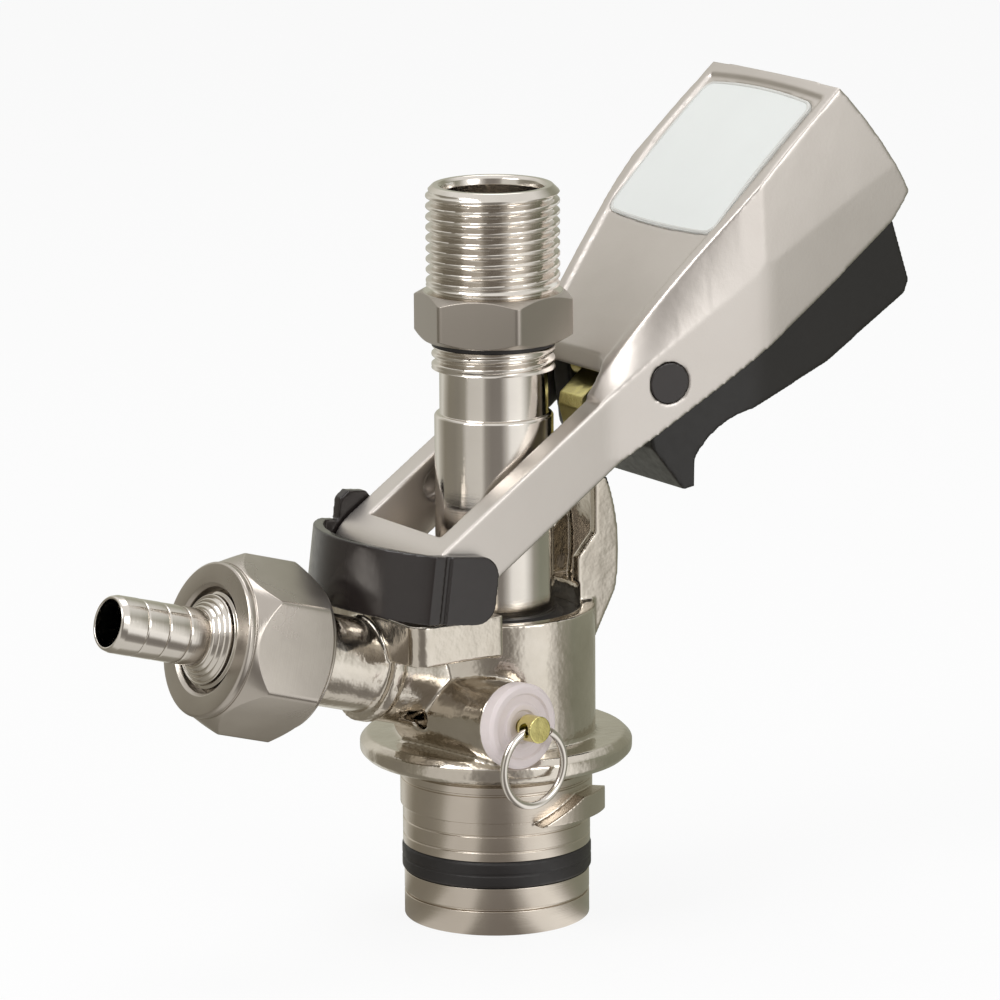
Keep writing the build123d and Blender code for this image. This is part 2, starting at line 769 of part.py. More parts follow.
def under_facets():
    """All that lies under the sloped faces from the arms' outer edges to the head's top edges."""
    outlines = []
    for x in SIDE_STATIONS:
        low, high = arm_height(x, ARM_TOP), max(edge_height(x), arm_height(x, ARM_TOP))
        slope = (high - low) / (side_width(x) - edge_width(x))
        outer = (side_width(x) + 0.3, low - 0.3 * slope)
        inner = (edge_width(x) - FORM_OVER, high + FORM_OVER * slope)
        rim = [(-outer[0], FORM_FOOT), (-outer[0], outer[1]), (-inner[0], inner[1])]
        rim += [(y, z) for y, z in (inner, outer, (outer[0], FORM_FOOT))]
        outlines.append((x, [line(rim[i], rim[(i + 1) % len(rim)]) for i in range(len(rim))]))
    return through(outlines, True)


def panel_space():
    """Space over the sunk panel between the head's two beads."""
    outlines = []
    for x in (PANEL_START_X, *CROWN_STATIONS[1:6], PANEL_END_X):
        half = edge_width(x) - BEAD
        outlines.append(
            (
                x,
                [
                    line((-half, FORM_FOOT), (-half, RIDGE_END[1] + 8)),
                    line((-half, RIDGE_END[1] + 8), (half, RIDGE_END[1] + 8)),
                    line((half, RIDGE_END[1] + 8), (half, FORM_FOOT)),
                    line((half, FORM_FOOT), (-half, FORM_FOOT)),
                ],
            )
        )
    return through(outlines, True) - under_crown(PANEL_SINK)


def lever_width(inset, front_x):
    """Plan of the lever: straight arms, flared head; inset draws every side in."""
    out = HEAD_OUT - inset
    front = ARM_OUT - inset
    rear = HEAD_REAR_OUT - inset
    corners = [
        (front_x, -front),
        (FLARE_X, -front),
        (HEAD_FRONT_X, -out),
        (HEAD_REAR_X + PLAN_PAST, -rear),
        (HEAD_REAR_X + PLAN_PAST, rear),
        (HEAD_FRONT_X, out),
        (FLARE_X, front),
        (front_x, front),
    ]
    with BuildPart() as plan:
        with BuildSketch(Plane.XY.offset(FORM_FOOT - PLAN_PAST)):
            with BuildLine():
                Polyline(*corners, close=True)
            make_face()
            bends = [v for v in vertices() if front_x + 1 < v.X < HEAD_FRONT_X + 1]
            fillet(bends, FLARE_ROUND)
        extrude(amount=PLAN_H)
    return plan.part


ARM_END = 60.0


def arm_blank():
    """Side form of the two arms, with the hub round the pivot."""
    low_start = sqrt(HUB_LOW_R**2 - ARM_LOW**2)
    top_angle = ARM_RISE + 90
    edges = [
        line(arm_point(ARM_END, -ARM_LOW), arm_point(low_start, -ARM_LOW)),
        arc(arm_point(low_start, -ARM_LOW), pivot_point(HUB_LOW_R, -90), pivot_point(HUB_LOW_R, 180)),
        line(pivot_point(HUB_LOW_R, 180), pivot_point(ARM_TOP, WEB_END)),
        arc(
            pivot_point(ARM_TOP, WEB_END),
            pivot_point(ARM_TOP, (WEB_END + top_angle) / 2),
            pivot_point(ARM_TOP, top_angle),
        ),
        line(pivot_point(ARM_TOP, top_angle), arm_point(ARM_END, ARM_TOP)),
        line(arm_point(ARM_END, ARM_TOP), arm_point(ARM_END, -ARM_LOW)),
    ]
    return slab(edges, ARM_OUT)


def head_blank():
    """Head: keel arc below, raked end, long top edges and a flat panel between them."""
    front = arm_point(FLARE_ALONG, -ARM_LOW)
    front_high = (EDGE_FOOT[0], arm_height(EDGE_FOOT[0], 0))
    front_top = (EDGE_FOOT[0], RIDGE_END[1] + BLANK_RISE)
    rear_top = (RIDGE_END[0] + CREST_STEP[0], RIDGE_END[1] + CREST_STEP[1])
    edges = [
        arc(front, KEEL_MID, KEEL_REAR),
        line(KEEL_REAR, REAR_CORNER),
        arc(REAR_CORNER, REAR_MID, RIDGE_END),
        line(RIDGE_END, rear_top),
        line(rear_top, front_top),
        line(front_top, front_high),
        line(front_high, front),
    ]
    return slab(edges, HEAD_OUT) & under_crown(0) & under_facets()


def lever_cavity():
    """Hollow of the head, open below and towards the probe."""
    roof = ARM_TOP - ROOF_WALL
    roof_low = (OPENING_END_X, arm_height(OPENING_END_X, roof))
    roof_high = arm_point(ARM_END - 6, roof)
    far_x = HEAD_REAR_X + 8
    rear_in = (REAR_CORNER[0] - HEAD_WALL - TRIGGER_SIDE_AIR, REAR_CORNER[1])
    mid_in = (REAR_MID[0] - HEAD_WALL * 0.8, REAR_MID[1] - HEAD_WALL * 0.7)
    top_in = (RIDGE_END[0] - HEAD_WALL * 0.73, RIDGE_END[1] - HEAD_WALL * 0.68)
    over = (top_in[0] + CREST_STEP[0], top_in[1] + CREST_STEP[1])
    foot = [
        line((OPENING_END_X, KEEL_FLOOR), roof_low),
        line(roof_low, roof_high),
        line(roof_high, (HEAD_FRONT_X, roof_high[1])),
        line((HEAD_FRONT_X, roof_high[1]), (HEAD_FRONT_X, KEEL_FLOOR)),
        line((HEAD_FRONT_X, KEEL_FLOOR), (OPENING_END_X, KEEL_FLOOR)),
    ]
    head = [
        line(roof_low, (OPENING_END_X, over[1])),
        line((OPENING_END_X, over[1]), over),
        line(over, top_in),
        arc(top_in, mid_in, rear_in),
        line(rear_in, (far_x, REAR_CORNER[1])),
        line((far_x, REAR_CORNER[1]), (far_x, KEEL_FLOOR)),
        line((far_x, KEEL_FLOOR), (roof_low[0], KEEL_FLOOR)),
        line((roof_low[0], KEEL_FLOOR), roof_low),
    ]
    hollow = slab(foot, HEAD_OUT) + (slab(head, HEAD_OUT) & under_crown(HEAD_DROP))
    return hollow & lever_width(HEAD_WALL, OPENING_END_X - 0.5)


def arm_opening():
    """Space between the arms for the probe; the web that joins the arms stays."""
    space = box(PIVOT_X - OPENING_BACK, OPENING_END_X, -ARM_IN, ARM_IN, PIVOT_Z - OPENING_BACK, OPENING_TOP)
    space = fillet(space.edges().filter_by(Axis.Z).group_by(Axis.X)[-1], OPENING_ROUND)
    first = ARM_RISE + 78
    edges = [
        line(pivot_point(WEB_IN_R, first), pivot_point(ARM_TOP + 1, first)),
        arc(
            pivot_point(ARM_TOP + 1, first),
            pivot_point(ARM_TOP + 1, (first + WEB_END) / 2),
            pivot_point(ARM_TOP + 1, WEB_END),
        ),
        line(pivot_point(ARM_TOP + 1, WEB_END), pivot_point(WEB_IN_R, WEB_END)),
        arc(
            pivot_point(WEB_IN_R, WEB_END),
            pivot_point(WEB_IN_R, (first + WEB_END) / 2),
            pivot_point(WEB_IN_R, first),
        ),
    ]
    return space - slab(edges, ARM_IN + 1)


def cam_point(share, across=0.0):
    """Centre of the follower in the lever's rest frame, when the lever is share of its swing down.

    The follower stays on the probe's axis and sinks in proportion to the swing.
    """
    height = FOLLOWER_RISE - PROBE_TRAVEL * share
    reach = hypot(-PIVOT_X, height) + across
    angle = degrees(atan2(height, -PIVOT_X)) + LEVER_SWING * share
    return pivot_point(reach, angle)


def cam_slots():
    """Blind slots in the inner faces of both arms, as wide as the followers with running air."""
    half = FOLLOWER_R + RUN
    depth = ARM_IN + SLOT_DEPTH
    slots = []
    steps = 8
    for side in (-1, 1):
        with BuildPart() as slot:
            with BuildSketch(Plane.XZ.offset(-side * depth)):
                for i in range(steps + 1):
                    with Locations(cam_point(i / steps)):
                        Circle(half)
                for i in range(steps):
                    p, q = Vector(*cam_point(i / steps)), Vector(*cam_point((i + 1) / steps))
                    n = Vector(-(q - p).Y, (q - p).X).normalized() * half
                    with BuildLine():
                        Polyline(p + n, q + n, q - n, p - n, close=True)
                    make_face()
            extrude(amount=side * (SLOT_DEPTH + 0.5))
        slots.append(slot.part)
    return slots


def label_prism(half, length_trim, above, below):
    """Rounded block square to the head's slope, over the label's place."""
    dx = LABEL_HIGH[0] - LABEL_LOW[0]
    dz = LABEL_HIGH[1] - LABEL_LOW[1]
    slope = degrees(atan2(dz, dx))
    middle = ((LABEL_LOW[0] + LABEL_HIGH[0]) / 2, 0, (LABEL_LOW[1] + LABEL_HIGH[1]) / 2)
    plane = Plane(middle, x_dir=(cos(radians(slope)), 0, sin(radians(slope))), z_dir=(-dz, 0, dx))
    with BuildPart() as prism:
        with BuildSketch(plane.offset(-below)):
            reach = hypot(dx, dz) / 2 - length_trim
            with BuildLine():
                Line((-reach, -half), (reach, -half))
                ThreePointArc((reach, -half), (reach + LABEL_BULGE, 0), (reach, half))
                Line((reach, half), (-reach, half))
                ThreePointArc((-reach, half), (-reach - LABEL_BULGE, 0), (-reach, -half))
            make_face()
            fillet(vertices(), LABEL_CORNER)
        extrude(amount=above + below)
    return prism.part


def label_plate():
    prism = label_prism(LABEL_HALF - SEAT, SEAT, LABEL_REACH, LABEL_REACH)
    top = PANEL_SINK - LABEL_PROUD
    return prism & (under_crown(top) - under_crown(top + LABEL_T))


def label_recess():
    prism = label_prism(LABEL_HALF, 0, LABEL_REACH, LABEL_REACH)
    return prism - under_crown(PANEL_SINK - LABEL_PROUD + LABEL_T)


def lever_handle():
    """Die-cast lever: two arms round the probe, joined by a web, and a hollow head."""
    lever = (arm_blank() + head_blank()) & lever_width(0, PIVOT_X - OPENING_BACK)
    lever = lever - panel_space() - lever_cavity() - arm_opening() - label_recess()
    for slot in cam_slots():
        lever = lever - slot
    lever = lever - rod(SIDE, PIN_R + RUN, -ARM_OUT - 1, ARM_OUT + 1)
    reach = HEAD_OUT + 1
    lever = lever - rod(TRIGGER_PLANE, TRIGGER_PIN_R + SEAT, -reach, reach)
    inner = TRIGGER_PIN_HALF - TRIGGER_HEAD_T - SEAT
    for start, end in ((-reach, -inner), (inner, reach)):
        lever = lever - rod(TRIGGER_PLANE, TRIGGER_HEAD_R + SEAT, start, end)
    return lever


# ---- trigger ----
def trigger_pin():
    """Pin across the lever, its two heads flush with the lever's sides."""
    reach = HEAD_OUT + 1
    shaft = rod(TRIGGER_PLANE, TRIGGER_PIN_R, -TRIGGER_PIN_HALF, TRIGGER_PIN_HALF)
    neck = TRIGGER_PIN_HALF - TRIGGER_HEAD_T
    for start, end in ((-reach, -neck), (neck, reach)):
        shaft = shaft + rod(TRIGGER_PLANE, TRIGGER_HEAD_R, start, end)
    return shaft & lever_width(0, PIVOT_X)


def trigger_grip():
    """Grip under the lever's head, with a finger hook in front and ears on the trigger pin."""
    ear_top = (TRIGGER_X, TRIGGER_Z + TRIGGER_EAR_R)
    ear_front = (TRIGGER_X - TRIGGER_EAR_R, TRIGGER_Z)
    ear_side = TRIGGER_EAR_R * cos(radians(45))
    ear_mid = (TRIGGER_X - ear_side, TRIGGER_Z + ear_side)
    edges = [
        line(HOOK_FRONT, ear_front),
        arc(ear_front, ear_mid, ear_top),
        line(ear_top, GRIP_NECK),
        line(GRIP_NECK, GRIP_ROOF),
        line(GRIP_ROOF, GRIP_TOP),
        line(GRIP_TOP, GRIP_REAR),
        line(GRIP_REAR, GRIP_LOW),
        line(GRIP_LOW, GRIP_MID),
        line(GRIP_MID, FINGER_END),
        arc(FINGER_END, FINGER_MID, FINGER_LOW),
        line(FINGER_LOW, HOOK_HEEL),
        line(HOOK_HEEL, HOOK_TIP),
        line(HOOK_TIP, HOOK_FRONT),
    ]
    side = HEAD_WALL + TRIGGER_SIDE_AIR
    grip = slab(edges, HEAD_OUT) & lever_width(side, OPENING_END_X)
    rim = GRIP_FLOOR + GRIP_MOUTH
    hollow = [line(rim[i], rim[(i + 1) % len(rim)]) for i in range(len(rim))]
    grip = grip - (slab(hollow, HEAD_OUT) & lever_width(side + TRIGGER_WALL, OPENING_END_X))
    pocket = box(
        TRIGGER_X - TRIGGER_POCKET,
        TRIGGER_X + TRIGGER_POCKET,
        -TRIGGER_EAR_IN,
        TRIGGER_EAR_IN,
        TRIGGER_Z - TRIGGER_POCKET,
        TRIGGER_Z + TRIGGER_POCKET,
    )
    return grip - pocket - rod(TRIGGER_PLANE, TRIGGER_PIN_R + RUN, -HEAD_OUT, HEAD_OUT)


def latch_pawl():
    """Plated latch on the trigger pin, reaching down behind the tower."""
    hub = ((TRIGGER_X, TRIGGER_Z - PAWL_HUB_R), (TRIGGER_X, TRIGGER_Z + PAWL_HUB_R))
    nose = PAWL_NOSE + hub
    edges = [line(nose[i], nose[(i + 1) % len(nose)]) for i in range(len(nose))]
    pawl = slab(edges, PAWL_HALF) + rod(TRIGGER_PLANE, PAWL_HUB_R, -PAWL_SPACER, PAWL_HALF)
    return pawl - rod(TRIGGER_PLANE, TRIGGER_PIN_R + RUN, -PAWL_SPACER - 1, PAWL_SPACER + 1)


def trigger_spring():
    """Torsion spring, as close coils round the trigger pin."""
    coils = None
    for i in range(SPRING_TURNS):
        height = PAWL_HALF + 0.2 + SPRING_WIRE_R * (1 + 1.9 * i)
        with BuildPart() as turn:
            with Locations(TRIGGER_PLANE.offset(height)):
                Torus(SPRING_MEAN_R, SPRING_WIRE_R)
        coils = turn.part if coils is None else coils + turn.part
    return coils


# ---- hinge clip and pins ----
CLIP_OUT = CLIP_IN + CLIP_T


def hinge_clip():
    """Spring clip that holds the two hinge pins from outside."""
    with BuildPart() as clip:
        with BuildSketch(Plane.XY.offset(CLIP_Z0)):
            with BuildLine():
                Line((CLIP_END_X, -CLIP_OUT), (CLIP_BEND_X, -CLIP_OUT))
                ThreePointArc((CLIP_BEND_X, -CLIP_OUT), (CLIP_BOW_X, 0), (CLIP_BEND_X, CLIP_OUT))
                Line((CLIP_BEND_X, CLIP_OUT), (CLIP_END_X, CLIP_OUT))
                Line((CLIP_END_X, CLIP_OUT), (CLIP_END_X, CLIP_IN))
                Line((CLIP_END_X, CLIP_IN), (CLIP_BEND_X, CLIP_IN))
                ThreePointArc((CLIP_BEND_X, CLIP_IN), (CLIP_BOW_X + CLIP_T, 0), (CLIP_BEND_X, -CLIP_IN))
                Line((CLIP_BEND_X, -CLIP_IN), (CLIP_END_X, -CLIP_IN))
                Line((CLIP_END_X, -CLIP_IN), (CLIP_END_X, -CLIP_OUT))
            make_face()
        extrude(amount=CLIP_Z1 - CLIP_Z0)
        tips = clip.edges().filter_by(Axis.Y).group_by(Axis.X)[-1]
        fillet(tips, CLIP_ROUND)
    tab = box(TAB_X0, TAB_X1, CLIP_IN, CLIP_OUT, CLIP_Z1 - 2, TAB_TOP)
    tab = chamfer(tab.edges().filter_by(Axis.Y).group_by(Axis.Z)[-1], 1.4)
    made = clip.part + tab
    deep = CLIP_OUT - CLIP_GROOVE_T
    left, right = CLIP_GROOVE_X - CLIP_GROOVE_W / 2, CLIP_GROOVE_X + CLIP_GROOVE_W / 2
    for start, end in ((-CLIP_OUT - 1, -deep), (deep, CLIP_OUT + 1)):
        made = made - box(left, right, start, end, CLIP_Z0 - 1, CLIP_Z1)
    pivot = Pos(PIVOT_X, 0, PIVOT_Z)
    made = pivot * Rot(0, CLIP_TILT, 0) * pivot.inverse() * made
    reach = CLIP_IN + CLIP_SEAT
    return made - rod(SIDE, PIN_R + SEAT, -reach, reach)


def hinge_pin(side):
    plane = Plane((PIVOT_X, 0, PIVOT_Z), x_dir=(1, 0, 0), z_dir=(0, side, 0))
    return rod(plane, PIN_R, 3.0, CLIP_IN + CLIP_SEAT)


# ---- gas fittings ----
TAIL_SEAT = GAS_STUB_L1 + WASHER_T
TAIL_COLLAR_END = TAIL_SEAT + TAIL_COLLAR_H
NUT_L0 = GAS_STUB_L1 - NUT_OVERLAP
NUT_L1 = TAIL_COLLAR_END + SEAT + NUT_LIP
TAIL_END = NUT_L1 + TAIL_OUT


def gas_check_valve():
    """Rubber duckbill that lets gas in and keeps beer out."""
    start = GAS_STUB_L1 - VALVE_L + SEAT
    points = [
        (0, start),
        (VALVE_BORE - 2.6, start),
        (VALVE_BORE - 1.6, start + 6),
        (VALVE_BORE - SEAT, start + 8),
        (VALVE_BORE - SEAT, GAS_STUB_L1),
        (3.4, GAS_STUB_L1),
        (2.6, start + 3),
        (0, start + 1.2),
    ]
    return lathe(points, GAS)


def gas_washer():
    return tube(GAS, GAS_STUB_R - 0.4, TAIL_BORE, GAS_STUB_L1, TAIL_SEAT)


def gas_hose_tail():
    """Hose tail with a collar under the union nut and shallow barbs."""
    hub_end = TAIL_COLLAR_END + TAIL_HUB_H
    barbs_start = TAIL_END - 1.0 - BARB_COUNT * BARB_PITCH
    points = [
        (TAIL_BORE, TAIL_SEAT),
        (TAIL_COLLAR_R, TAIL_SEAT),
        (TAIL_COLLAR_R, TAIL_COLLAR_END),
        (TAIL_HUB_R, TAIL_COLLAR_END),
        (TAIL_HUB_R, hub_end),
        (TAIL_R - BARB_RISE, hub_end),
    ]
    for i in range(BARB_COUNT):
        low = barbs_start + i * BARB_PITCH
        points.append((TAIL_R - BARB_RISE, low))
        points.append((TAIL_R, low + BARB_RISE))
        points.append((TAIL_R, low + BARB_LAND))
    points.append((TAIL_R - BARB_RISE, TAIL_END))
    points.append((TAIL_BORE, TAIL_END))
    return lathe(points, GAS)


def gas_union_nut():
    """Hexagon nut that draws the hose tail onto the gas inlet."""
    corner = NUT_FLATS / sqrt(3)
    blank = hexagon(GAS, NUT_FLATS, NUT_L0, NUT_L1, turn=NUT_TURN)
    cone = lathe(
        [
            (0, NUT_L0),
            (NUT_FACE_R, NUT_L0),
            (corner, NUT_L0 + NUT_CHAMFER),
            (corner, NUT_L1 - NUT_CHAMFER),
            (NUT_FACE_R, NUT_L1),
            (0, NUT_L1),
        ],
        GAS,
    )
    nut = blank & cone
    nut = nut - rod(GAS, GAS_STUB_R + RUN, NUT_L0, NUT_L1 - NUT_LIP)
    return nut - rod(GAS, NUT_MOUTH_R, NUT_L0, NUT_L1)


# ---- relief valve ----
POPPET_IN = -RELIEF_DEPTH + SEAT + RELIEF_SEAL_T
POPPET_OUT = POPPET_IN + RELIEF_POPPET_T
PLUG_IN = -RELIEF_CAP_T - RELIEF_PLUG
KNOB_IN = RELIEF_STEM_OUT - 2 * KNOB_HALF


def relief_cap():
    head = rod(RELIEF, RELIEF_CAP_R, -RELIEF_CAP_T, 0)
    plug = rod(RELIEF, RELIEF_BORE - SEAT, PLUG_IN, -RELIEF_CAP_T)
    return head + plug - rod(RELIEF, RELIEF_STEM_R + RUN, PLUG_IN - 1, 1)


def relief_spring():
    """Coil spring at the length it has with the valve pulled open, resting on the plug."""
    length = PLUG_IN - POPPET_OUT - RELIEF_LIFT - 0.1
    return tube(RELIEF, RELIEF_POPPET_R - 0.3, RELIEF_STEM_R + 0.6, PLUG_IN - length, PLUG_IN)


def relief_stem():
    """Stem with poppet inside and a drilled knob outside."""
    stem = rod(RELIEF, RELIEF_STEM_R, POPPET_IN, RELIEF_STEM_OUT)
    stem = stem + rod(RELIEF, RELIEF_POPPET_R, POPPET_IN, POPPET_OUT)
    stem = stem + rod(RELIEF, RELIEF_KNOB_R, KNOB_IN, RELIEF_STEM_OUT)
    hole = Plane(ring_pivot(), z_dir=RELIEF_SIDE)
    return stem - rod(hole, RING_HOLE_R, -RELIEF_KNOB_R - 1, RELIEF_KNOB_R + 1)


def relief_seal():
    return rod(RELIEF, RELIEF_POPPET_R, POPPET_IN - RELIEF_SEAL_T, POPPET_IN)


def ring_pivot():
    return RELIEF.origin + RELIEF.z_dir * (RELIEF_STEM_OUT - KNOB_HALF)


def pull_ring():
    """Wire ring that hangs through the stem's knob."""
    level = Vector(RELIEF_OUT.X, RELIEF_OUT.Y, 0).normalized()
    sag = RING_R - sqrt(RING_R**2 - RELIEF_KNOB_R**2)
    hang = RING_HOLE_R - RING_WIRE_R - sag - SEAT
    centre = ring_pivot() - Vector(0, 0, RING_R + hang)
    with BuildPart() as ring:
        with Locations(Plane(centre, x_dir=RELIEF_SIDE, z_dir=level)):
            Torus(RING_R, RING_WIRE_R)
    return ring.part


PARTS = {
    "coupler_body": coupler_body,
    "keg_seal_ring": keg_seal,
    "probe_wiper_ring": wiper_ring,
    "body_oring_lower": lambda: oring(ORING_LOW_Z),
    "body_oring_upper": lambda: oring(ORING_HIGH_Z),
    "probe_tube": probe_body,
    "cam_follower_near": lambda: follower(-1),
    "cam_follower_far": lambda: follower(1),
    "probe_tip_seal": tip_seal,
    "outlet_seal": outlet_seal,
    "outlet_fitting": outlet_fitting,
    "check_ball": check_ball,
    "ball_cage": ball_cage,
    "lever_handle": lever_handle,
    "label_plate": label_plate,
    "trigger_pin": trigger_pin,
    "trigger_grip": trigger_grip,
    "latch_pawl": latch_pawl,
    "trigger_spring": trigger_spring,
    "hinge_clip": hinge_clip,
    "hinge_pin_near": lambda: hinge_pin(-1),
    "hinge_pin_far": lambda: hinge_pin(1),
    "gas_check_valve": gas_check_valve,
    "gas_washer": gas_washer,
    "gas_hose_tail": gas_hose_tail,
    "gas_union_nut": gas_union_nut,
    "relief_cap": relief_cap,
    "relief_spring": relief_spring,
    "relief_stem": relief_stem,
    "relief_seal": relief_seal,
    "relief_pull_ring": pull_ring,
}

for name, make in PARTS.items():
    export_step(make(), f"parts/{name}.step")
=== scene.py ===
"""Keg coupler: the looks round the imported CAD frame. Metres, +Z up, in the CAD's own frame."""

import json
from math import atan2, cos, hypot, pi, radians, sin, sqrt, tan

import bmesh
import bpy
from mathutils import Matrix, Vector


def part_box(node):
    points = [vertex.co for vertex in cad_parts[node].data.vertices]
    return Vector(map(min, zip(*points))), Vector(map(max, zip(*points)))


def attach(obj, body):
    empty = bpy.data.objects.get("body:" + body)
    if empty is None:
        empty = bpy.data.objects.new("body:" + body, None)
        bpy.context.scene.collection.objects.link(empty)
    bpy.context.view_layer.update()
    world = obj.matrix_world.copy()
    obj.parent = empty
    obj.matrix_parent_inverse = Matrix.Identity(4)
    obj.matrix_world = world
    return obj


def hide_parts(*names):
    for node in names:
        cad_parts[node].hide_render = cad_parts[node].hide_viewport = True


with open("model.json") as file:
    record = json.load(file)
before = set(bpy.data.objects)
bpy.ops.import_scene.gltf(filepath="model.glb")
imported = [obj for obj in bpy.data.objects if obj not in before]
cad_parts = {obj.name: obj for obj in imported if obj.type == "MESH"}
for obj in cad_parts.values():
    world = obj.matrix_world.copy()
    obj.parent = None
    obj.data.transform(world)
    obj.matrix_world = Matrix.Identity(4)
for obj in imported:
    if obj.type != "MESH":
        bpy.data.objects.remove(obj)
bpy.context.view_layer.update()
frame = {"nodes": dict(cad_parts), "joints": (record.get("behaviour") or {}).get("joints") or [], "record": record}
MM = 0.001
NODES = frame["nodes"]

# ---------------------------------------------------------------- camera
VIEW_AZIMUTH = radians(-33)
VIEW_RISE = radians(12.4)
VIEW_ROLL = radians(-0.36)
VIEW_DISTANCE = 1115
VIEW_MIDDLE = Vector((0, 0, 64))
VIEW_SHIFT = (0.892, 8.748)
LENS = 234


def add_camera():
    """Camera at the view fitted to the photograph; the distances are in mm."""
    back = Vector((sin(VIEW_AZIMUTH) * cos(VIEW_RISE), -cos(VIEW_AZIMUTH) * cos(VIEW_RISE), sin(VIEW_RISE)))
    level = Vector((cos(VIEW_AZIMUTH), sin(VIEW_AZIMUTH), 0))
    plumb = back.cross(level)
    right = level * cos(VIEW_ROLL) + plumb * sin(VIEW_ROLL)
    up = plumb * cos(VIEW_ROLL) - level * sin(VIEW_ROLL)
    place = VIEW_MIDDLE + back * VIEW_DISTANCE + right * VIEW_SHIFT[0] + up * VIEW_SHIFT[1]
    data = bpy.data.cameras.new("camera")
    data.lens = LENS
    data.sensor_width = 36
    data.clip_start = 0.05
    data.clip_end = 50
    cam = bpy.data.objects.new("camera", data)
    turn = Matrix((right, up, back)).transposed()
    cam.matrix_world = Matrix.Translation(place * MM) @ turn.to_4x4()
    bpy.context.scene.collection.objects.link(cam)
    bpy.context.scene.camera = cam


add_camera()
bpy.context.scene.view_settings.view_transform = "Standard"


# ---------------------------------------------------------------- material nodes
class Graph:
    """Short way to write a material's nodes."""

    def __init__(self, tree):
        self.tree = tree
        self.tree.nodes.clear()

    def add(self, kind, values=None, links=None, **settings):
        node = self.tree.nodes.new(kind)
        for key, value in settings.items():
            setattr(node, key, value)
        for key, value in (values or {}).items():
            node.inputs[key].default_value = value
        for key, source in (links or {}).items():
            self.tree.links.new(source, node.inputs[key])
        return node

    def noise(self, place, scale, detail, rough=0.5):
        values = {"Scale": scale, "Detail": detail, "Roughness": rough}
        return self.add("ShaderNodeTexNoise", values, {"Vector": place}).outputs["Fac"]

    def ramp(self, source, stops):
        """Colours of three parts by place between 0 and 1."""
        node = self.add("ShaderNodeValToRGB", links={"Fac": source})
        elements = node.color_ramp.elements
        while len(elements) < len(stops):
            elements.new(0.5)
        for element, (place, colour) in zip(elements, stops):
            element.position = place
            element.color = (*colour, 1)
        return node.outputs["Color"]

    def bump(self, height, strength, distance, normal=None):
        links = {"Height": height}
        if normal:
            links["Normal"] = normal
        values = {"Strength": strength, "Distance": distance}
        return self.add("ShaderNodeBump", values, links).outputs[0]

    def mix(self, factor, first, second):
        """From a socket's colour towards a fixed one; 6, 7 and output 2 are the colour sockets."""
        links = {0: factor, 6: first}
        return self.add("ShaderNodeMix", {7: second}, links, data_type="RGBA").outputs[2]

    def either(self, factor, first, second):
        """The first shader where factor is 0 and the second where it is 1."""
        links = {0: factor, 1: first.outputs[0], 2: second.outputs[0]}
        return self.add("ShaderNodeMixShader", {}, links)


def grey(v):
    return (v, v, v)


MILLED_TONE = (0.40, 0.365, 0.325, 1)
MILLED_HAZE = (0.4, 0.4, 0.4, 1)
MILLED_EDGE = 0.0002
DENT_HEIGHT = 0.0006
LINE_HEIGHT = 0.00008
LINE_DRIFT = 6.0
GRAIN_HEIGHT = 0.0001


def beyond(g, place, radius):
    """1 beyond a radius in metres from the Z axis and 0 within it."""
    axes = g.add("ShaderNodeSeparateXYZ", links={"Vector": place}).outputs
    flat = g.add("ShaderNodeCombineXYZ", {}, {"X": axes["X"], "Y": axes["Y"]}).outputs[0]
    reach = g.add("ShaderNodeVectorMath", {}, {0: flat}, operation="LENGTH").outputs["Value"]
    limits = {"From Min": radius - MILLED_EDGE, "From Max": radius + MILLED_EDGE}
    return g.add("ShaderNodeMapRange", limits, {"Value": reach}).outputs[0]


def turning_marks(g, place, density, axis):
    """Noise drawn out into rings round an axis, as a lathe leaves it."""
    height = g.add("ShaderNodeVectorMath", {1: axis}, {0: place}, operation="DOT_PRODUCT")
    links = {0: height.outputs["Value"]}
    level = g.add("ShaderNodeVectorMath", {"Scale": density}, links, operation="SCALE")
    drift = g.add("ShaderNodeVectorMath", {"Scale": LINE_DRIFT}, {0: place}, operation="SCALE")
    links = {0: level.outputs[0], 1: drift.outputs[0]}
    both = g.add("ShaderNodeVectorMath", {}, links, operation="ADD")
    return g.noise(both.outputs[0], 1.0, 2.0, 0.7)


def metal(
    name, light, dark, rough, lines=None, grain=(900.0, 0.06), blotch=60.0, dents=None,
    spread=0.06, milled=None, axis=(0, 0, 1),
):
    """Metal with uneven tone and fine grain.

    lines: density and depth of turning marks across the axis. dents: scale and depth of cast
    unevenness. milled: radius in metres beyond which the faces are duller and darker.
    """
    mat = bpy.data.materials.new(name)
    mat.use_nodes = True
    g = Graph(mat.node_tree)
    place = g.add("ShaderNodeTexCoord").outputs["Object"]
    cloud = g.noise(place, blotch, 4.0, 0.6)
    tone = g.ramp(cloud, [(0.3, dark), (0.7, light)])
    haze = g.ramp(cloud, [(0.3, grey(rough - spread)), (0.75, grey(rough + spread))])
    if milled:
        outer = beyond(g, place, milled)
        tone = g.mix(outer, tone, MILLED_TONE)
        haze = g.mix(outer, haze, MILLED_HAZE)
    normal = None
    if dents:
        normal = g.bump(g.noise(place, dents[0], 3.0, 0.55), dents[1], DENT_HEIGHT)
    if lines:
        normal = g.bump(turning_marks(g, place, lines[0], axis), lines[1], LINE_HEIGHT, normal)
    normal = g.bump(g.noise(place, grain[0], 3.0, 0.65), grain[1], GRAIN_HEIGHT, normal)
    links = {"Base Color": tone, "Roughness": haze, "Normal": normal}
    shader = g.add("ShaderNodeBsdfPrincipled", {"Metallic": 1.0}, links)
    g.add("ShaderNodeOutputMaterial", links={"Surface": shader.outputs[0]})
    return mat


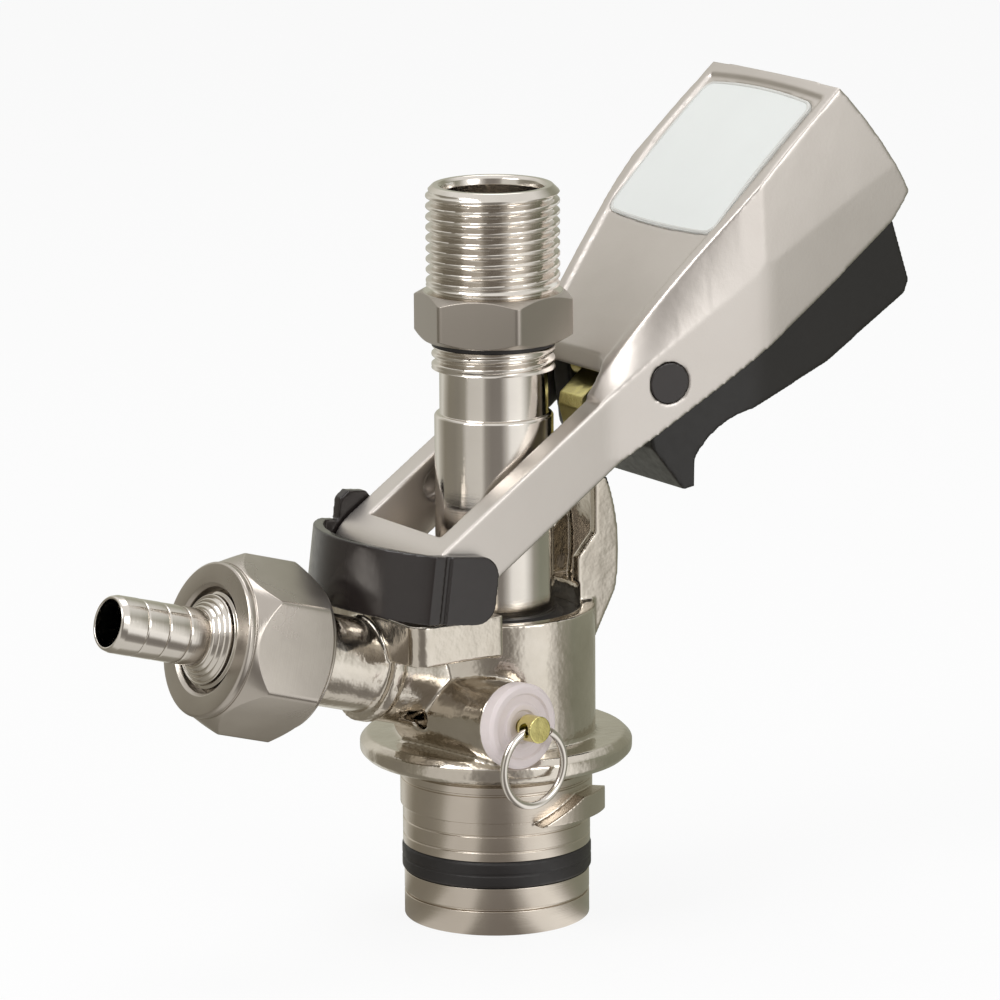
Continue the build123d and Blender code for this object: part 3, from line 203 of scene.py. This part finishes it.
def plastic(name, colour, rough, grain=700.0, depth=0.15, spread=0.06, tint=1.25):
    """Moulded plastic or rubber with a fine texture and slight change of tone."""
    mat = bpy.data.materials.new(name)
    mat.use_nodes = True
    g = Graph(mat.node_tree)
    place = g.add("ShaderNodeTexCoord").outputs["Object"]
    light = tuple(min(1.0, c * tint) for c in colour)
    tone = g.ramp(g.noise(place, 90.0, 4.0), [(0.3, colour), (0.75, light)])
    fine = g.noise(place, grain, 2.0)
    haze = g.ramp(fine, [(0.3, grey(rough - spread)), (0.7, grey(rough + spread))])
    links = {"Base Color": tone, "Roughness": haze, "Normal": g.bump(fine, depth, GRAIN_HEIGHT)}
    shader = g.add("ShaderNodeBsdfPrincipled", {}, links)
    g.add("ShaderNodeOutputMaterial", links={"Surface": shader.outputs[0]})
    return mat


GAS_MOUNT = next(m for m in frame["record"]["mounts"] if m["name"] == "gas_tail")
GAS_AXIS = Vector(GAS_MOUNT["axis"]).normalized()
STEEL = ((0.74, 0.70, 0.65), (0.66, 0.62, 0.57))
CAST = ((0.72, 0.67, 0.60), (0.54, 0.49, 0.42))
NUT = ((0.56, 0.52, 0.47), (0.47, 0.43, 0.39))
SPIGOT = ((0.66, 0.60, 0.53), (0.58, 0.52, 0.45))
LEVER = ((0.66, 0.62, 0.585), (0.60, 0.56, 0.525))
BRASS = ((0.80, 0.72, 0.33), (0.62, 0.55, 0.20))
LATHE = {"lines": (5200.0, 0.12), "spread": 0.025, "grain": (900.0, 0.03)}
MATERIALS = {
    "cast_metal": metal("cast_metal", *CAST, 0.15, dents=(260.0, 0.32), grain=(1500.0, 0.06)),
    "turned_steel": metal("turned_steel", *STEEL, 0.09, **LATHE),
    "milled_outlet": metal(
        "milled_outlet", *STEEL, 0.12, lines=(5200.0, 0.1), milled=0.0119, spread=0.03
    ),
    "milled_nut": metal(
        "milled_nut", *NUT, 0.30, lines=(4200.0, 0.15), grain=(1200.0, 0.12), axis=GAS_AXIS
    ),
    "turned_tail": metal("turned_tail", *STEEL, 0.09, axis=GAS_AXIS, **LATHE),
    "spigot_steel": metal("spigot_steel", *SPIGOT, 0.2, lines=(4200.0, 0.3), spread=0.04),
    "lever_metal": metal(
        "lever_metal", *LEVER, 0.40, grain=(1600.0, 0.15), blotch=30.0, spread=0.03
    ),
    "brass": metal("brass", *BRASS, 0.24, dents=(600.0, 0.15)),
    "black_rubber": plastic("black_rubber", (0.014, 0.012, 0.012), 0.5),
    "black_plastic": plastic("black_plastic", (0.020, 0.016, 0.015), 0.20, depth=0.05),
    "grip_plastic": plastic("grip_plastic", (0.009, 0.0075, 0.0065), 0.38),
    "label_film": plastic(
        "label_film", (0.74, 0.76, 0.74), 0.34, tint=1.03, grain=180.0, depth=0.005, spread=0.02
    ),
    "label_edge": plastic("label_edge", (0.60, 0.60, 0.57), 0.4, tint=1.05, depth=0.02),
    "white_plastic": plastic("white_plastic", (0.75, 0.75, 0.72), 0.4, tint=1.03),
    "cap_face": plastic("cap_face", (0.74, 0.66, 0.65), 0.35, tint=1.08),
    "ball_plastic": plastic("ball_plastic", (0.6, 0.08, 0.05), 0.3),
}
SLOT_OF = {part["node"]: part["material_slot"] for part in frame["record"]["subparts"]}
for name, node in NODES.items():
    node.data.materials.clear()
    node.data.materials.append(MATERIALS[SLOT_OF[name]])


# ---------------------------------------------------------------- building meshes
def joint(name):
    return next(j for j in frame["joints"] if j["name"] == name)


def axis_frame(axis, through, side):
    """Matrix whose Z runs along axis from the point through, with X nearest to side."""
    z = Vector(axis).normalized()
    x = Vector(side)
    x = (x - z * x.dot(z)).normalized()
    turn = Matrix((x, z.cross(x), z)).transposed()
    return Matrix.Translation(through) @ turn.to_4x4()


UPRIGHT = Matrix.Identity(4)
GAS_AT = Vector(GAS_MOUNT["pos_m"])
GAS = axis_frame(GAS_AXIS, GAS_AT - GAS_AXIS * (GAS_AT.x / GAS_AXIS.x), (0, -1, 0))
RELIEF_AXIS = Vector(joint("relief_pull")["axis"]).normalized()
RING_AXIS = Vector(joint("pull_ring_swing")["axis"]).normalized()
RING_AT = Vector(joint("pull_ring_swing")["pos_m"])
RELIEF = axis_frame(RELIEF_AXIS, RING_AT, RING_AXIS)


def along(node, matrix):
    """Lowest and highest height of a node along a frame's Z, and its largest radius, in mm."""
    back = matrix.inverted()
    points = [back @ v.co for v in NODES[node].data.vertices]
    heights = [q.z / MM for q in points]
    return min(heights), max(heights), max(hypot(q.x, q.y) for q in points) / MM


def finish_mesh(name, bm, matrix, crease=35):
    """Object in world coordinates, smooth apart from edges over the crease angle."""
    bmesh.ops.remove_doubles(bm, verts=bm.verts, dist=1e-7)
    bmesh.ops.recalc_face_normals(bm, faces=bm.faces)
    for face in bm.faces:
        face.smooth = True
    for edge in bm.edges:
        if len(edge.link_faces) == 2 and edge.calc_face_angle(0) > radians(crease):
            edge.smooth = False
    mesh = bpy.data.meshes.new(name)
    bm.to_mesh(mesh)
    bm.free()
    mesh.transform(matrix)
    obj = bpy.data.objects.new(name, mesh)
    bpy.context.scene.collection.objects.link(obj)
    return obj


def dress(obj, body, slot, nodes, material=None):
    """Gives a piece its material, chosen by its slot unless one is named, and its body, and hides the CAD nodes
    that it stands for.
    """
    obj.data.materials.clear()
    obj.data.materials.append(MATERIALS[material or slot])
    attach(obj, body)
    for node in nodes:
        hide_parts(node)


def soften(points, radius, steps=3):
    """Closed (radius, height) outline with its corners rounded; a point with a third value stays as it is."""
    out = []
    count = len(points)
    for i in range(count):
        p = Vector(points[i][:2])
        a = Vector(points[i - 1][:2]) - p
        b = Vector(points[(i + 1) % count][:2]) - p
        if len(points[i]) > 2:
            out.append((p.x, p.y))
            continue
        reach = min(radius, a.length * 0.4, b.length * 0.4)
        for k in range(steps + 1):
            t = k / steps
            q = p + a.normalized() * reach * (1 - t) ** 2 + b.normalized() * reach * t**2
            out.append((q.x, q.y))
    return out


def turned(name, outline, matrix, radius=0.15, segments=144):
    """Body round the frame's Z.

    outline: closed list of (radius, height) in mm, or a function of the angle that gives one.
    """
    bm = bmesh.new()
    columns = []
    for i in range(segments):
        angle = 2 * pi * i / segments
        points = soften(outline(angle) if callable(outline) else outline, radius)
        places = [(r * cos(angle) * MM, r * sin(angle) * MM, h * MM) for r, h in points]
        columns.append([bm.verts.new(place) for place in places])
    count = len(columns[0])
    for i in range(segments):
        left, right = columns[i], columns[(i + 1) % segments]
        for j in range(count):
            k = (j + 1) % count
            bm.faces.new((left[j], right[j], right[k], left[k]))
    return finish_mesh(name, bm, matrix)


def rows(low, high, step):
    """Even heights from low to high, about a step apart."""
    count = max(2, int((high - low) / step))
    return [low + (high - low) * i / count for i in range(count + 1)]


def threaded(radius, low, high, pitch, depth, angle, fade=0.7):
    """Outline points of a rounded thread, running out at both ends."""
    points = []
    for h in rows(low, high, pitch / 12):
        phase = (h / pitch - angle / (2 * pi)) % 1.0
        flank = min(1.0, abs(phase - 0.5) * 2.3)
        share = max(0.0, min(1.0, (h - low) / (fade * pitch), (high - h) / (fade * pitch)))
        points.append((radius - depth * (0.5 + 0.5 * cos(pi * flank)) * share, h, 1))
    return points


def hex_radius(angle, flats, corner_at, blunt=0.15):
    """Radius of a hexagon with slightly blunted corners."""
    off = (angle - radians(corner_at)) % (pi / 3) - pi / 6
    return min(flats / 2 / cos(off), flats / sqrt(3) - blunt)


# ---------------------------------------------------------------- copies of CAD solids
MERGE = 1e-6


def merged(mesh):
    """Mesh data with the vertices of neighbouring faces joined."""
    bm = bmesh.new()
    bm.from_mesh(mesh)
    bmesh.ops.remove_doubles(bm, verts=bm.verts, dist=MERGE)
    return bm


def rounded_copy(name, node, voxel, passes, keep=1.0):
    """The CAD solid's own shape, remeshed and smoothed so that its edges are a casting's.

    voxel: size in mm. passes: of smoothing. keep: share of the faces left after thinning.
    """
    obj = bpy.data.objects.new(name, NODES[node].data.copy())
    bpy.context.scene.collection.objects.link(obj)
    bm = merged(obj.data)
    bm.to_mesh(obj.data)
    bm.free()
    remesh = obj.modifiers.new("remesh", "REMESH")
    remesh.mode = "VOXEL"
    remesh.voxel_size = voxel * MM
    remesh.adaptivity = 0
    smooth = obj.modifiers.new("smooth", "SMOOTH")
    smooth.factor = 0.5
    smooth.iterations = passes
    if keep < 1:
        thin = obj.modifiers.new("thin", "DECIMATE")
        thin.ratio = keep
    graph = bpy.context.evaluated_depsgraph_get()
    mesh = bpy.data.meshes.new_from_object(obj.evaluated_get(graph))
    obj.modifiers.clear()
    obj.data = mesh
    mesh.shade_smooth()
    return obj


def plain_copy(name, node):
    """The CAD solid's own shape with smooth faces and sharp edges."""
    bm = bmesh.new()
    bm.from_mesh(NODES[node].data)
    return finish_mesh(name, bm, UPRIGHT, 25)


def cut_below(obj, height):
    """Leaves the part of a closed mesh above a height in mm, and closes the cut."""
    bm = bmesh.new()
    bm.from_mesh(obj.data)
    parts = bm.verts[:] + bm.edges[:] + bm.faces[:]
    level = {"plane_co": (0, 0, height * MM), "plane_no": (0, 0, 1)}
    cut = bmesh.ops.bisect_plane(bm, geom=parts, clear_inner=True, **level)
    edges = [e for e in cut["geom_cut"] if isinstance(e, bmesh.types.BMEdge)]
    bmesh.ops.triangle_fill(bm, edges=edges, use_beauty=True)
    bmesh.ops.recalc_face_normals(bm, faces=bm.faces)
    bm.to_mesh(obj.data)
    bm.free()


# ---------------------------------------------------------------- beer outlet and probe
# Sizes in mm; a name in _R is a radius.
THREAD_PITCH = 1.814
THREAD_DEPTH = 1.0
THREAD_R = 11.45
ROOT_R = THREAD_R - 1.2
OUTLET_FLATS, OUTLET_CORNER, OUTLET_FACE_R = 24.2, 15.0, 11.9
OUTLET_HEX_H = 8.4
OUTLET_MOUTH_R = 8.6
BEER_BORE_R = 5.6


def outlet_piece():
    """Beer outlet: a hexagon with chamfered corners under a rounded thread."""
    low, high, _ = along("outlet_fitting", UPRIGHT)
    seat = along("outlet_seal", UPRIGHT)[1]
    hex_top = seat + OUTLET_HEX_H
    face = OUTLET_FACE_R
    slope = tan(radians(30))

    def outline(angle):
        edge = hex_radius(angle, OUTLET_FLATS, OUTLET_CORNER)
        rise = (edge - face) * slope
        points = [
            (BEER_BORE_R, low), (7.0, low), (7.0, seat), (face - 0.4, seat), (face, seat + 0.1),
            (edge, seat + 0.1 + rise), (edge, hex_top - rise), (face, hex_top),
            (10.3, hex_top + 0.1), (10.2, hex_top + 0.5),
        ]
        points += threaded(THREAD_R, hex_top + 1.0, high - 0.3, THREAD_PITCH, THREAD_DEPTH, angle)
        points = [(min(p[0], ROOT_R + (high - p[1])),) + p[1:] for p in points]
        points += [
            (ROOT_R, high), (9.3, high), (8.8, high - 0.5), (OUTLET_MOUTH_R, high - 1.5),
            (OUTLET_MOUTH_R, hex_top + 1), (BEER_BORE_R, hex_top - 1),
        ]
        return points

    obj = turned("outlet_piece", outline, UPRIGHT, 0.12, 240)
    dress(obj, "probe", "turned_steel", ["outlet_fitting"], "milled_outlet")


PROBE_R = 10.2
PROBE_TIP_R = 9.2
PROBE_LOW_R = 8.4
PROBE_NECK_R = 9.3
COLLAR_R = 10.6
COLLAR_DEPTH = 0.8
COLLAR_BORE_R = 7.4


def probe_piece():
    """Probe tube with the fine thread of its upper collar."""
    low, high, _ = along("probe_tube", UPRIGHT)

    def outline(angle):
        points = [(BEER_BORE_R, low), (PROBE_TIP_R, low), (PROBE_TIP_R, low + 0.8)]
        points += [(PROBE_LOW_R, low + 0.8), (PROBE_LOW_R, 41.0), (PROBE_R, 42.8)]
        points += [(PROBE_R, 88.0), (9.9, 88.4), (PROBE_NECK_R, 88.5), (PROBE_NECK_R, 96.1)]
        points += threaded(COLLAR_R, 96.3, high - 0.1, THREAD_PITCH, COLLAR_DEPTH, angle, 0.5)
        points += [(10.4, high), (COLLAR_BORE_R, high), (COLLAR_BORE_R, 80.0), (BEER_BORE_R, 78.2)]
        return points

    obj = turned("probe_piece", outline, UPRIGHT, 0.12, 180)
    dress(obj, "probe", "turned_steel", ["probe_tube"])


# ---------------------------------------------------------------- gas inlet
NUT_FLATS, NUT_CORNER, NUT_FACE_R = 26.9, 38.0, 13.1
NUT_CHAMFER = 4.0
NUT_BORE_R = 10.36
NUT_MOUTH_R = 9.0


def nut_piece():
    """Union nut with chamfered corners and a narrow collar at its front face."""
    low, high, _ = along("gas_union_nut", GAS)
    face = NUT_FACE_R
    slope = NUT_CHAMFER / (NUT_FLATS / sqrt(3) - face)
    shoulder = high - 1.5

    def outline(angle):
        edge = hex_radius(angle, NUT_FLATS, NUT_CORNER)
        rise = (edge - face) * slope
        back = (edge - face) * 0.8
        return [
            (NUT_BORE_R, low), (face - 0.6, low), (face, low + 0.5), (face, low + 0.9),
            (edge, low + 0.9 + back), (edge, shoulder - rise), (face + 0.25, shoulder),
            (face - 0.05, shoulder), (face - 0.05, shoulder + 0.3), (face + 0.1, shoulder + 0.4),
            (face + 0.1, high - 0.35), (face - 0.25, high), (9.6, high),
            (NUT_MOUTH_R, high - 0.6), (NUT_MOUTH_R, high - 3.2), (NUT_BORE_R, high - 3.2),
        ]

    obj = turned("nut_piece", outline, GAS, 0.14, 240)
    dress(obj, "gas_nut", "turned_steel", ["gas_union_nut"], "milled_nut")


TAIL_BORE_R = 4.0
TAIL_GROOVE_R = 4.78
BARB_R = 4.9
BARBS = 4
BARB_PITCH = 4.2
HUB_R = 8.3
# radius of each step of the hub, and its height above the nut's front face
HUB_STEPS = ((7.7, 0.0), (6.9, 0.55), (6.2, 1.15), (5.5, 1.8))


def tail_piece():
    """Hose tail: a collar inside the nut, a stepped hub and shallow barbs."""
    low, high, collar = along("gas_hose_tail", GAS)
    nut_high = along("gas_union_nut", GAS)[1]
    under = nut_high - 3.25
    points = [(TAIL_BORE_R, low), (collar, low), (collar, under), (HUB_R, under)]
    points += [(HUB_R, nut_high - 0.9), (7.7, nut_high - 0.7)]
    for radius, rise in HUB_STEPS:
        at = nut_high + rise
        points += [(radius, at), (radius - 0.25, at + 0.2), (radius - 0.45, at)]
    points += [(TAIL_GROOVE_R, nut_high + 2.2)]
    start = high - 1.0 - BARBS * BARB_PITCH
    for i in range(BARBS):
        at = start + i * BARB_PITCH
        points += [(TAIL_GROOVE_R, at), (BARB_R, at + 0.25), (BARB_R, at + 1.5), (4.87, at + 3.95)]
    points += [(4.6, high - 0.3), (4.35, high), (4.05, high - 0.1), (TAIL_BORE_R, high - 0.8)]
    obj = turned("tail_piece", points, GAS, 0.1, 96)
    dress(obj, "body", "turned_steel", ["gas_hose_tail"], "turned_tail")


# ---------------------------------------------------------------- cast body
SPIGOT_R = 16.0
UPPER_R = 16.2
UPPER_LINES = (14.6, 17.4)
NECK_R = 16.6
NECK_LOW = 20.0
SPIGOT_TOP = 26.3
SPIGOT_BORE_R = 12.6
RING_FLOOR_R = 13.8
RING_LOW, RING_HIGH = 8.3, 13.1
LUG_LOW, LUG_HIGH = 18.5, 24.3
LUG_INNER_R = 16.1
SEAL_INNER_R = 13.85


def body_pieces():
    """The casting above the spigot, and the turned spigot with its grooves."""
    cast = rounded_copy("body_casting", "coupler_body", 0.3, 5, 0.35)
    cut_below(cast, SPIGOT_TOP)
    dress(cast, "body", "cast_metal", ["coupler_body"])
    low = along("coupler_body", UPRIGHT)[0]
    points = [(SPIGOT_BORE_R, low), (15.8, low), (SPIGOT_R, low + 0.2), (SPIGOT_R, 4.2)]
    points += [(15.5, 4.25), (15.5, 4.65), (SPIGOT_R, 4.7), (SPIGOT_R, RING_LOW)]
    points += [(RING_FLOOR_R, RING_LOW), (RING_FLOOR_R, RING_HIGH), (UPPER_R, RING_HIGH)]
    for at in UPPER_LINES:
        points += [(UPPER_R, at), (16.05, at + 0.08), (16.05, at + 0.3), (UPPER_R, at + 0.38)]
    points += [(UPPER_R, NECK_LOW), (NECK_R, NECK_LOW), (NECK_R, 24.6), (16.4, 24.7)]
    points += [(16.4, 25.0), (NECK_R, 25.1), (NECK_R, SPIGOT_TOP)]
    points += [(15.2, SPIGOT_TOP), (15.2, 27.0), (SPIGOT_BORE_R, 27.0)]
    spigot = turned("body_spigot", points, UPRIGHT, 0.12, 180)
    dress(spigot, "body", "cast_metal", ["coupler_body"], "spigot_steel")


def lug_pieces():
    """The bayonet lugs, with the neck's skin between them, from a rounded copy of the body."""
    lugs = rounded_copy("body_lugs", "coupler_body", 0.18, 3)
    bm = bmesh.new()
    bm.from_mesh(lugs.data)
    outside = [
        v for v in bm.verts
        if not LUG_LOW < v.co.z / MM < LUG_HIGH or hypot(v.co.x, v.co.y) / MM < LUG_INNER_R
    ]
    bmesh.ops.delete(bm, geom=outside, context="VERTS")
    bm.to_mesh(lugs.data)
    bm.free()
    dress(lugs, "body", "cast_metal", ["coupler_body"], "spigot_steel")


def seal_piece():
    """Flat seal ring with a fine line round its middle."""
    low, high, outer = along("keg_seal_ring", UPRIGHT)
    middle = (low + high) / 2
    line = outer - 0.12
    points = [(SEAL_INNER_R, low), (15.9, low), (outer, low + 0.5), (outer, middle - 0.3)]
    points += [(line, middle - 0.15), (line, middle + 0.15), (outer, middle + 0.3)]
    points += [(outer, high - 0.5), (16.0, high), (SEAL_INNER_R, high)]
    ring = turned("keg_seal_piece", points, UPRIGHT, 0.15)
    dress(ring, "body", "black_rubber", ["keg_seal_ring"])


# ---------------------------------------------------------------- relief valve
CAP_R = 7.3
CAP_PLUG_R = 4.75
CAP_BORE_R = 1.37
RING_R = 6.6
RING_WIRE_R = 0.7
RING_FIT = 0.98
RING_START = radians(122)
RING_GAP = radians(2.5)
RING_STEPS = 120


def relief_pieces():
    """Cap with a sunk band round a raised ring, the stem with its knob, and the pull ring."""
    face_at = RING_AT + RELIEF_AXIS * along("relief_cap", RELIEF)[1] * MM
    face = -(RING_AT - face_at).length / MM
    cap = [
        (CAP_BORE_R, face - 0.5), (2.6, face - 0.5), (2.9, face - 0.1), (3.8, face - 0.1),
        (4.1, face - 0.45), (5.4, face - 0.45), (5.7, face), (6.7, face), (CAP_R, face - 0.5),
        (CAP_R, face - 2.8), (7.1, face - 3.0), (CAP_PLUG_R, face - 3.0),
        (CAP_PLUG_R, face - 5.0), (CAP_BORE_R, face - 5.0),
    ]
    cap_piece = turned("relief_cap_piece", cap, RELIEF, 0.1, 120)
    dress(cap_piece, "body", "cap_face", ["relief_cap"])
    stem = rounded_copy("relief_stem_piece", "relief_stem", 0.1, 4, 0.5)
    dress(stem, "relief_stem", "brass", ["relief_stem"])
    dress(wire_ring("pull_ring_piece"), "pull_ring", "turned_steel", ["relief_pull_ring"])


def node_middle(node):
    low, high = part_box(node)
    return (Vector(low) + Vector(high)) / 2


def tube_along(name, points, radius, closed, sides):
    """Round wire along points in metres."""
    bm = bmesh.new()
    rings = []
    count = len(points)
    side = None
    for i in range(count):
        ahead = points[(i + 1) % count] if closed or i + 1 < count else points[i]
        behind = points[i - 1] if closed or i else points[i]
        run = (ahead - behind).normalized()
        if side is None:
            side = run.orthogonal().normalized()
        side = (side - run * side.dot(run)).normalized()
        other = run.cross(side)
        ring = []
        for k in range(sides):
            a = 2 * pi * k / sides
            ring.append(bm.verts.new(points[i] + (side * cos(a) + other * sin(a)) * radius))
        rings.append(ring)
    for i in range(count if closed else count - 1):
        low, high = rings[i], rings[(i + 1) % count]
        for k in range(sides):
            m = (k + 1) % sides
            bm.faces.new((low[k], low[m], high[m], high[k]))
    if not closed:
        bm.faces.new(list(reversed(rings[0])))
        bm.faces.new(rings[-1])
    return finish_mesh(name, bm, UPRIGHT)


def wire_ring(name):
    """Pull ring of one wire whose two ends meet beside the knob."""
    middle = node_middle("relief_pull_ring")
    across = Vector((RING_AXIS.x, RING_AXIS.y, 0)).normalized()
    points = []
    for i in range(RING_STEPS + 1):
        a = RING_START + (2 * pi - RING_GAP) * i / RING_STEPS
        points.append(middle + (across * cos(a) + Vector((0, 0, 1)) * sin(a)) * RING_R * MM)
    return tube_along(name, points, RING_WIRE_R * MM * RING_FIT, False, 18)


# ---------------------------------------------------------------- lever, trigger and clip
# piece, node, voxel in mm, smoothing passes, share of faces kept, body, slot
MOULDED = (
    ("lever_casting", "lever_handle", 0.3, 8, 0.35, "lever", "lever_metal"),
    ("trigger_moulding", "trigger_grip", 0.3, 6, 0.4, "trigger", "grip_plastic"),
    ("pawl_piece", "latch_pawl", 0.15, 8, 0.5, "trigger", "brass"),
    ("clip_moulding", "hinge_clip", 0.2, 5, 0.6, "body", "black_plastic"),
    ("trigger_pin_piece", "trigger_pin", 0.15, 3, 0.5, "lever", "black_plastic"),
)
TOP_FACING = 0.8
BEAD_R = 0.3
BEAD_INSET = 0.35
BEAD_SUNK = 0.12
BEAD_STEP = 0.5


def lever_pieces():
    for piece, node, voxel, passes, keep, body, slot in MOULDED:
        dress(rounded_copy(piece, node, voxel, passes, keep), body, slot, [node])
    film = plain_copy("label_film_piece", "label_plate")
    dress(film, "lever", "label_film", ["label_plate"])


def label_rim():
    """Thin pale bead round the edge of the film."""
    source = NODES["label_plate"].data
    centre = sum((v.co for v in source.vertices), Vector()) / len(source.vertices)
    up = max(source.polygons, key=lambda f: f.area).normal
    up = up if up.z > 0 else -up
    bm = merged(source)
    top = [f for f in bm.faces if f.normal.dot(up) > TOP_FACING]
    edges = {
        e for f in top for e in f.edges
        if any(near.normal.dot(up) <= TOP_FACING for near in e.link_faces)
    }
    rim = {v for e in edges for v in e.verts}
    side = up.orthogonal().normalized()
    other = up.cross(side)
    order = [v.co.copy() for v in rim]
    order.sort(key=lambda c: atan2((c - centre).dot(other), (c - centre).dot(side)))
    bm.free()
    points = [c - (c - centre).normalized() * BEAD_INSET * MM - up * BEAD_SUNK * MM for c in order]
    kept = [points[0]]
    for point in points[1:]:
        if (point - kept[-1]).length > BEAD_STEP * MM:
            kept.append(point)
    bead = tube_along("label_rim_piece", kept, BEAD_R * MM, True, 10)
    dress(bead, "lever", "label_film", ["label_plate"], "label_edge")


outlet_piece()
probe_piece()
nut_piece()
tail_piece()
body_pieces()
lug_pieces()
seal_piece()
relief_pieces()
lever_pieces()
label_rim()


# ---------------------------------------------------------------- stage and light
CAMERA_AZIMUTH = -123.0
# degrees from the camera's own direction, and the light that shiny metal sees there
BANDS = (
    (-180, (0.50, 0.50, 0.42)), (-160, (0.60, 0.59, 0.52)), (-138, (0.84, 0.83, 0.77)),
    (-122, (0.50, 0.48, 0.42)), (-109, (0.30, 0.28, 0.23)), (-80, (0.30, 0.28, 0.24)),
    (-64, (0.38, 0.36, 0.31)), (-54, (0.76, 0.74, 0.70)), (-24, (0.80, 0.78, 0.74)),
    (-16, (0.36, 0.34, 0.31)), (-5, (0.27, 0.25, 0.23)), (14, (0.28, 0.26, 0.24)),
    (24, (0.62, 0.60, 0.57)), (33, (1.12, 1.11, 1.09)), (58, (1.25, 1.24, 1.21)),
    (69, (0.85, 0.84, 0.81)), (80, (0.42, 0.41, 0.36)), (97, (0.30, 0.31, 0.25)),
    (150, (0.34, 0.34, 0.27)), (180, (0.50, 0.50, 0.42)),
)
CEILING = (0.95, 0.94, 0.92, 1)
WHITE = (1, 1, 1, 1)
FLOOR_HALF = 2.5
FLOOR_TONE = (0.86, 0.86, 0.86, 1)
FLOOR_WHITE = 0.88
FLOOR_SHINE = 0.92
SOFT_LIGHT = 0.55
LIGHT_AIM = Vector((0, 0, 0.07))


def surroundings(g, vector):
    """Soft boxes and gaps by direction, as shiny metal sees them, and the direction's height."""
    rotation = {"Rotation": (0, 0, radians(-CAMERA_AZIMUTH))}
    turn = g.add("ShaderNodeMapping", rotation, {"Vector": vector})
    axes = g.add("ShaderNodeSeparateXYZ", links={"Vector": turn.outputs[0]}).outputs
    angle = g.add("ShaderNodeMath", {}, {0: axes["Y"], 1: axes["X"]}, operation="ARCTAN2")
    limits = {"From Min": -pi, "From Max": pi}
    share = g.add("ShaderNodeMapRange", limits, {"Value": angle.outputs[0]})
    stops = [((a + 180) / 360, colour) for a, colour in BANDS]
    return g.ramp(share.outputs[0], stops), axes["Z"]


def floor_material():
    """Pale and matt, near white to the camera; to shiny metal, the soft boxes carried on."""
    mat = bpy.data.materials.new("floor")
    mat.use_nodes = True
    g = Graph(mat.node_tree)
    rays = g.add("ShaderNodeLightPath").outputs
    matt = g.add("ShaderNodeBsdfDiffuse", {"Color": FLOOR_TONE})
    white = g.add("ShaderNodeEmission", {"Color": WHITE, "Strength": 1.0})
    links = {0: rays["Is Camera Ray"]}
    seen = g.add("ShaderNodeMath", {1: FLOOR_WHITE}, links, operation="MULTIPLY")
    plain = g.either(seen.outputs[0], matt, white)
    place = g.add("ShaderNodeNewGeometry").outputs["Position"]
    links = {"Color": surroundings(g, place)[0]}
    shine = g.add("ShaderNodeEmission", {"Strength": FLOOR_SHINE}, links)
    surface = g.either(rays["Is Glossy Ray"], plain, shine)
    g.add("ShaderNodeOutputMaterial", links={"Surface": surface.outputs[0]})
    return mat


def add_floor():
    half = FLOOR_HALF
    corners = [(-half, -half, 0), (half, -half, 0), (half, half, 0), (-half, half, 0)]
    mesh = bpy.data.meshes.new("floor")
    mesh.from_pydata(corners, [], [(0, 1, 2, 3)])
    floor = bpy.data.objects.new("floor", mesh)
    bpy.context.scene.collection.objects.link(floor)
    mesh.materials.append(floor_material())


def add_world():
    """White to the camera, even soft light to matt surfaces, soft boxes and gaps to shiny metal."""
    world = bpy.data.worlds.new("world")
    bpy.context.scene.world = world
    world.use_nodes = True
    g = Graph(world.node_tree)
    bands, height = surroundings(g, g.add("ShaderNodeTexCoord").outputs["Generated"])
    above = g.add("ShaderNodeMapRange", {"From Min": 0.45, "From Max": 0.75}, {"Value": height})
    shine = g.mix(above.outputs[0], bands, CEILING)
    rays = g.add("ShaderNodeLightPath").outputs
    soft = g.add("ShaderNodeBackground", {"Color": WHITE, "Strength": SOFT_LIGHT})
    gloss = g.add("ShaderNodeBackground", {"Strength": 1.0}, {"Color": shine})
    white = g.add("ShaderNodeBackground", {"Color": WHITE, "Strength": 1.0})
    unseen = g.either(rays["Is Glossy Ray"], soft, gloss)
    surface = g.either(rays["Is Camera Ray"], unseen, white)
    g.add("ShaderNodeOutputWorld", links={"Surface": surface.outputs[0]})


def add_light(name, azimuth, rise, distance, size, power):
    """Round lamp aimed at the object; the azimuth is in degrees from the camera's."""
    data = bpy.data.lights.new(name, "AREA")
    data.shape = "DISK"
    data.size = size
    data.energy = power
    lamp = bpy.data.objects.new(name, data)
    a, e = radians(CAMERA_AZIMUTH + azimuth), radians(rise)
    away = Vector((cos(a) * cos(e), sin(a) * cos(e), sin(e)))
    turn = away.to_track_quat("Z", "Y").to_matrix().to_4x4()
    lamp.matrix_world = Matrix.Translation(LIGHT_AIM + away * distance) @ turn
    bpy.context.scene.collection.objects.link(lamp)


add_floor()
add_world()
add_light("key", -50, 45, 0.9, 0.5, 3.2)
add_light("fill", 45, 25, 1.0, 0.5, 1.6)
add_light("top", 170, 70, 1.0, 0.6, 2.0)
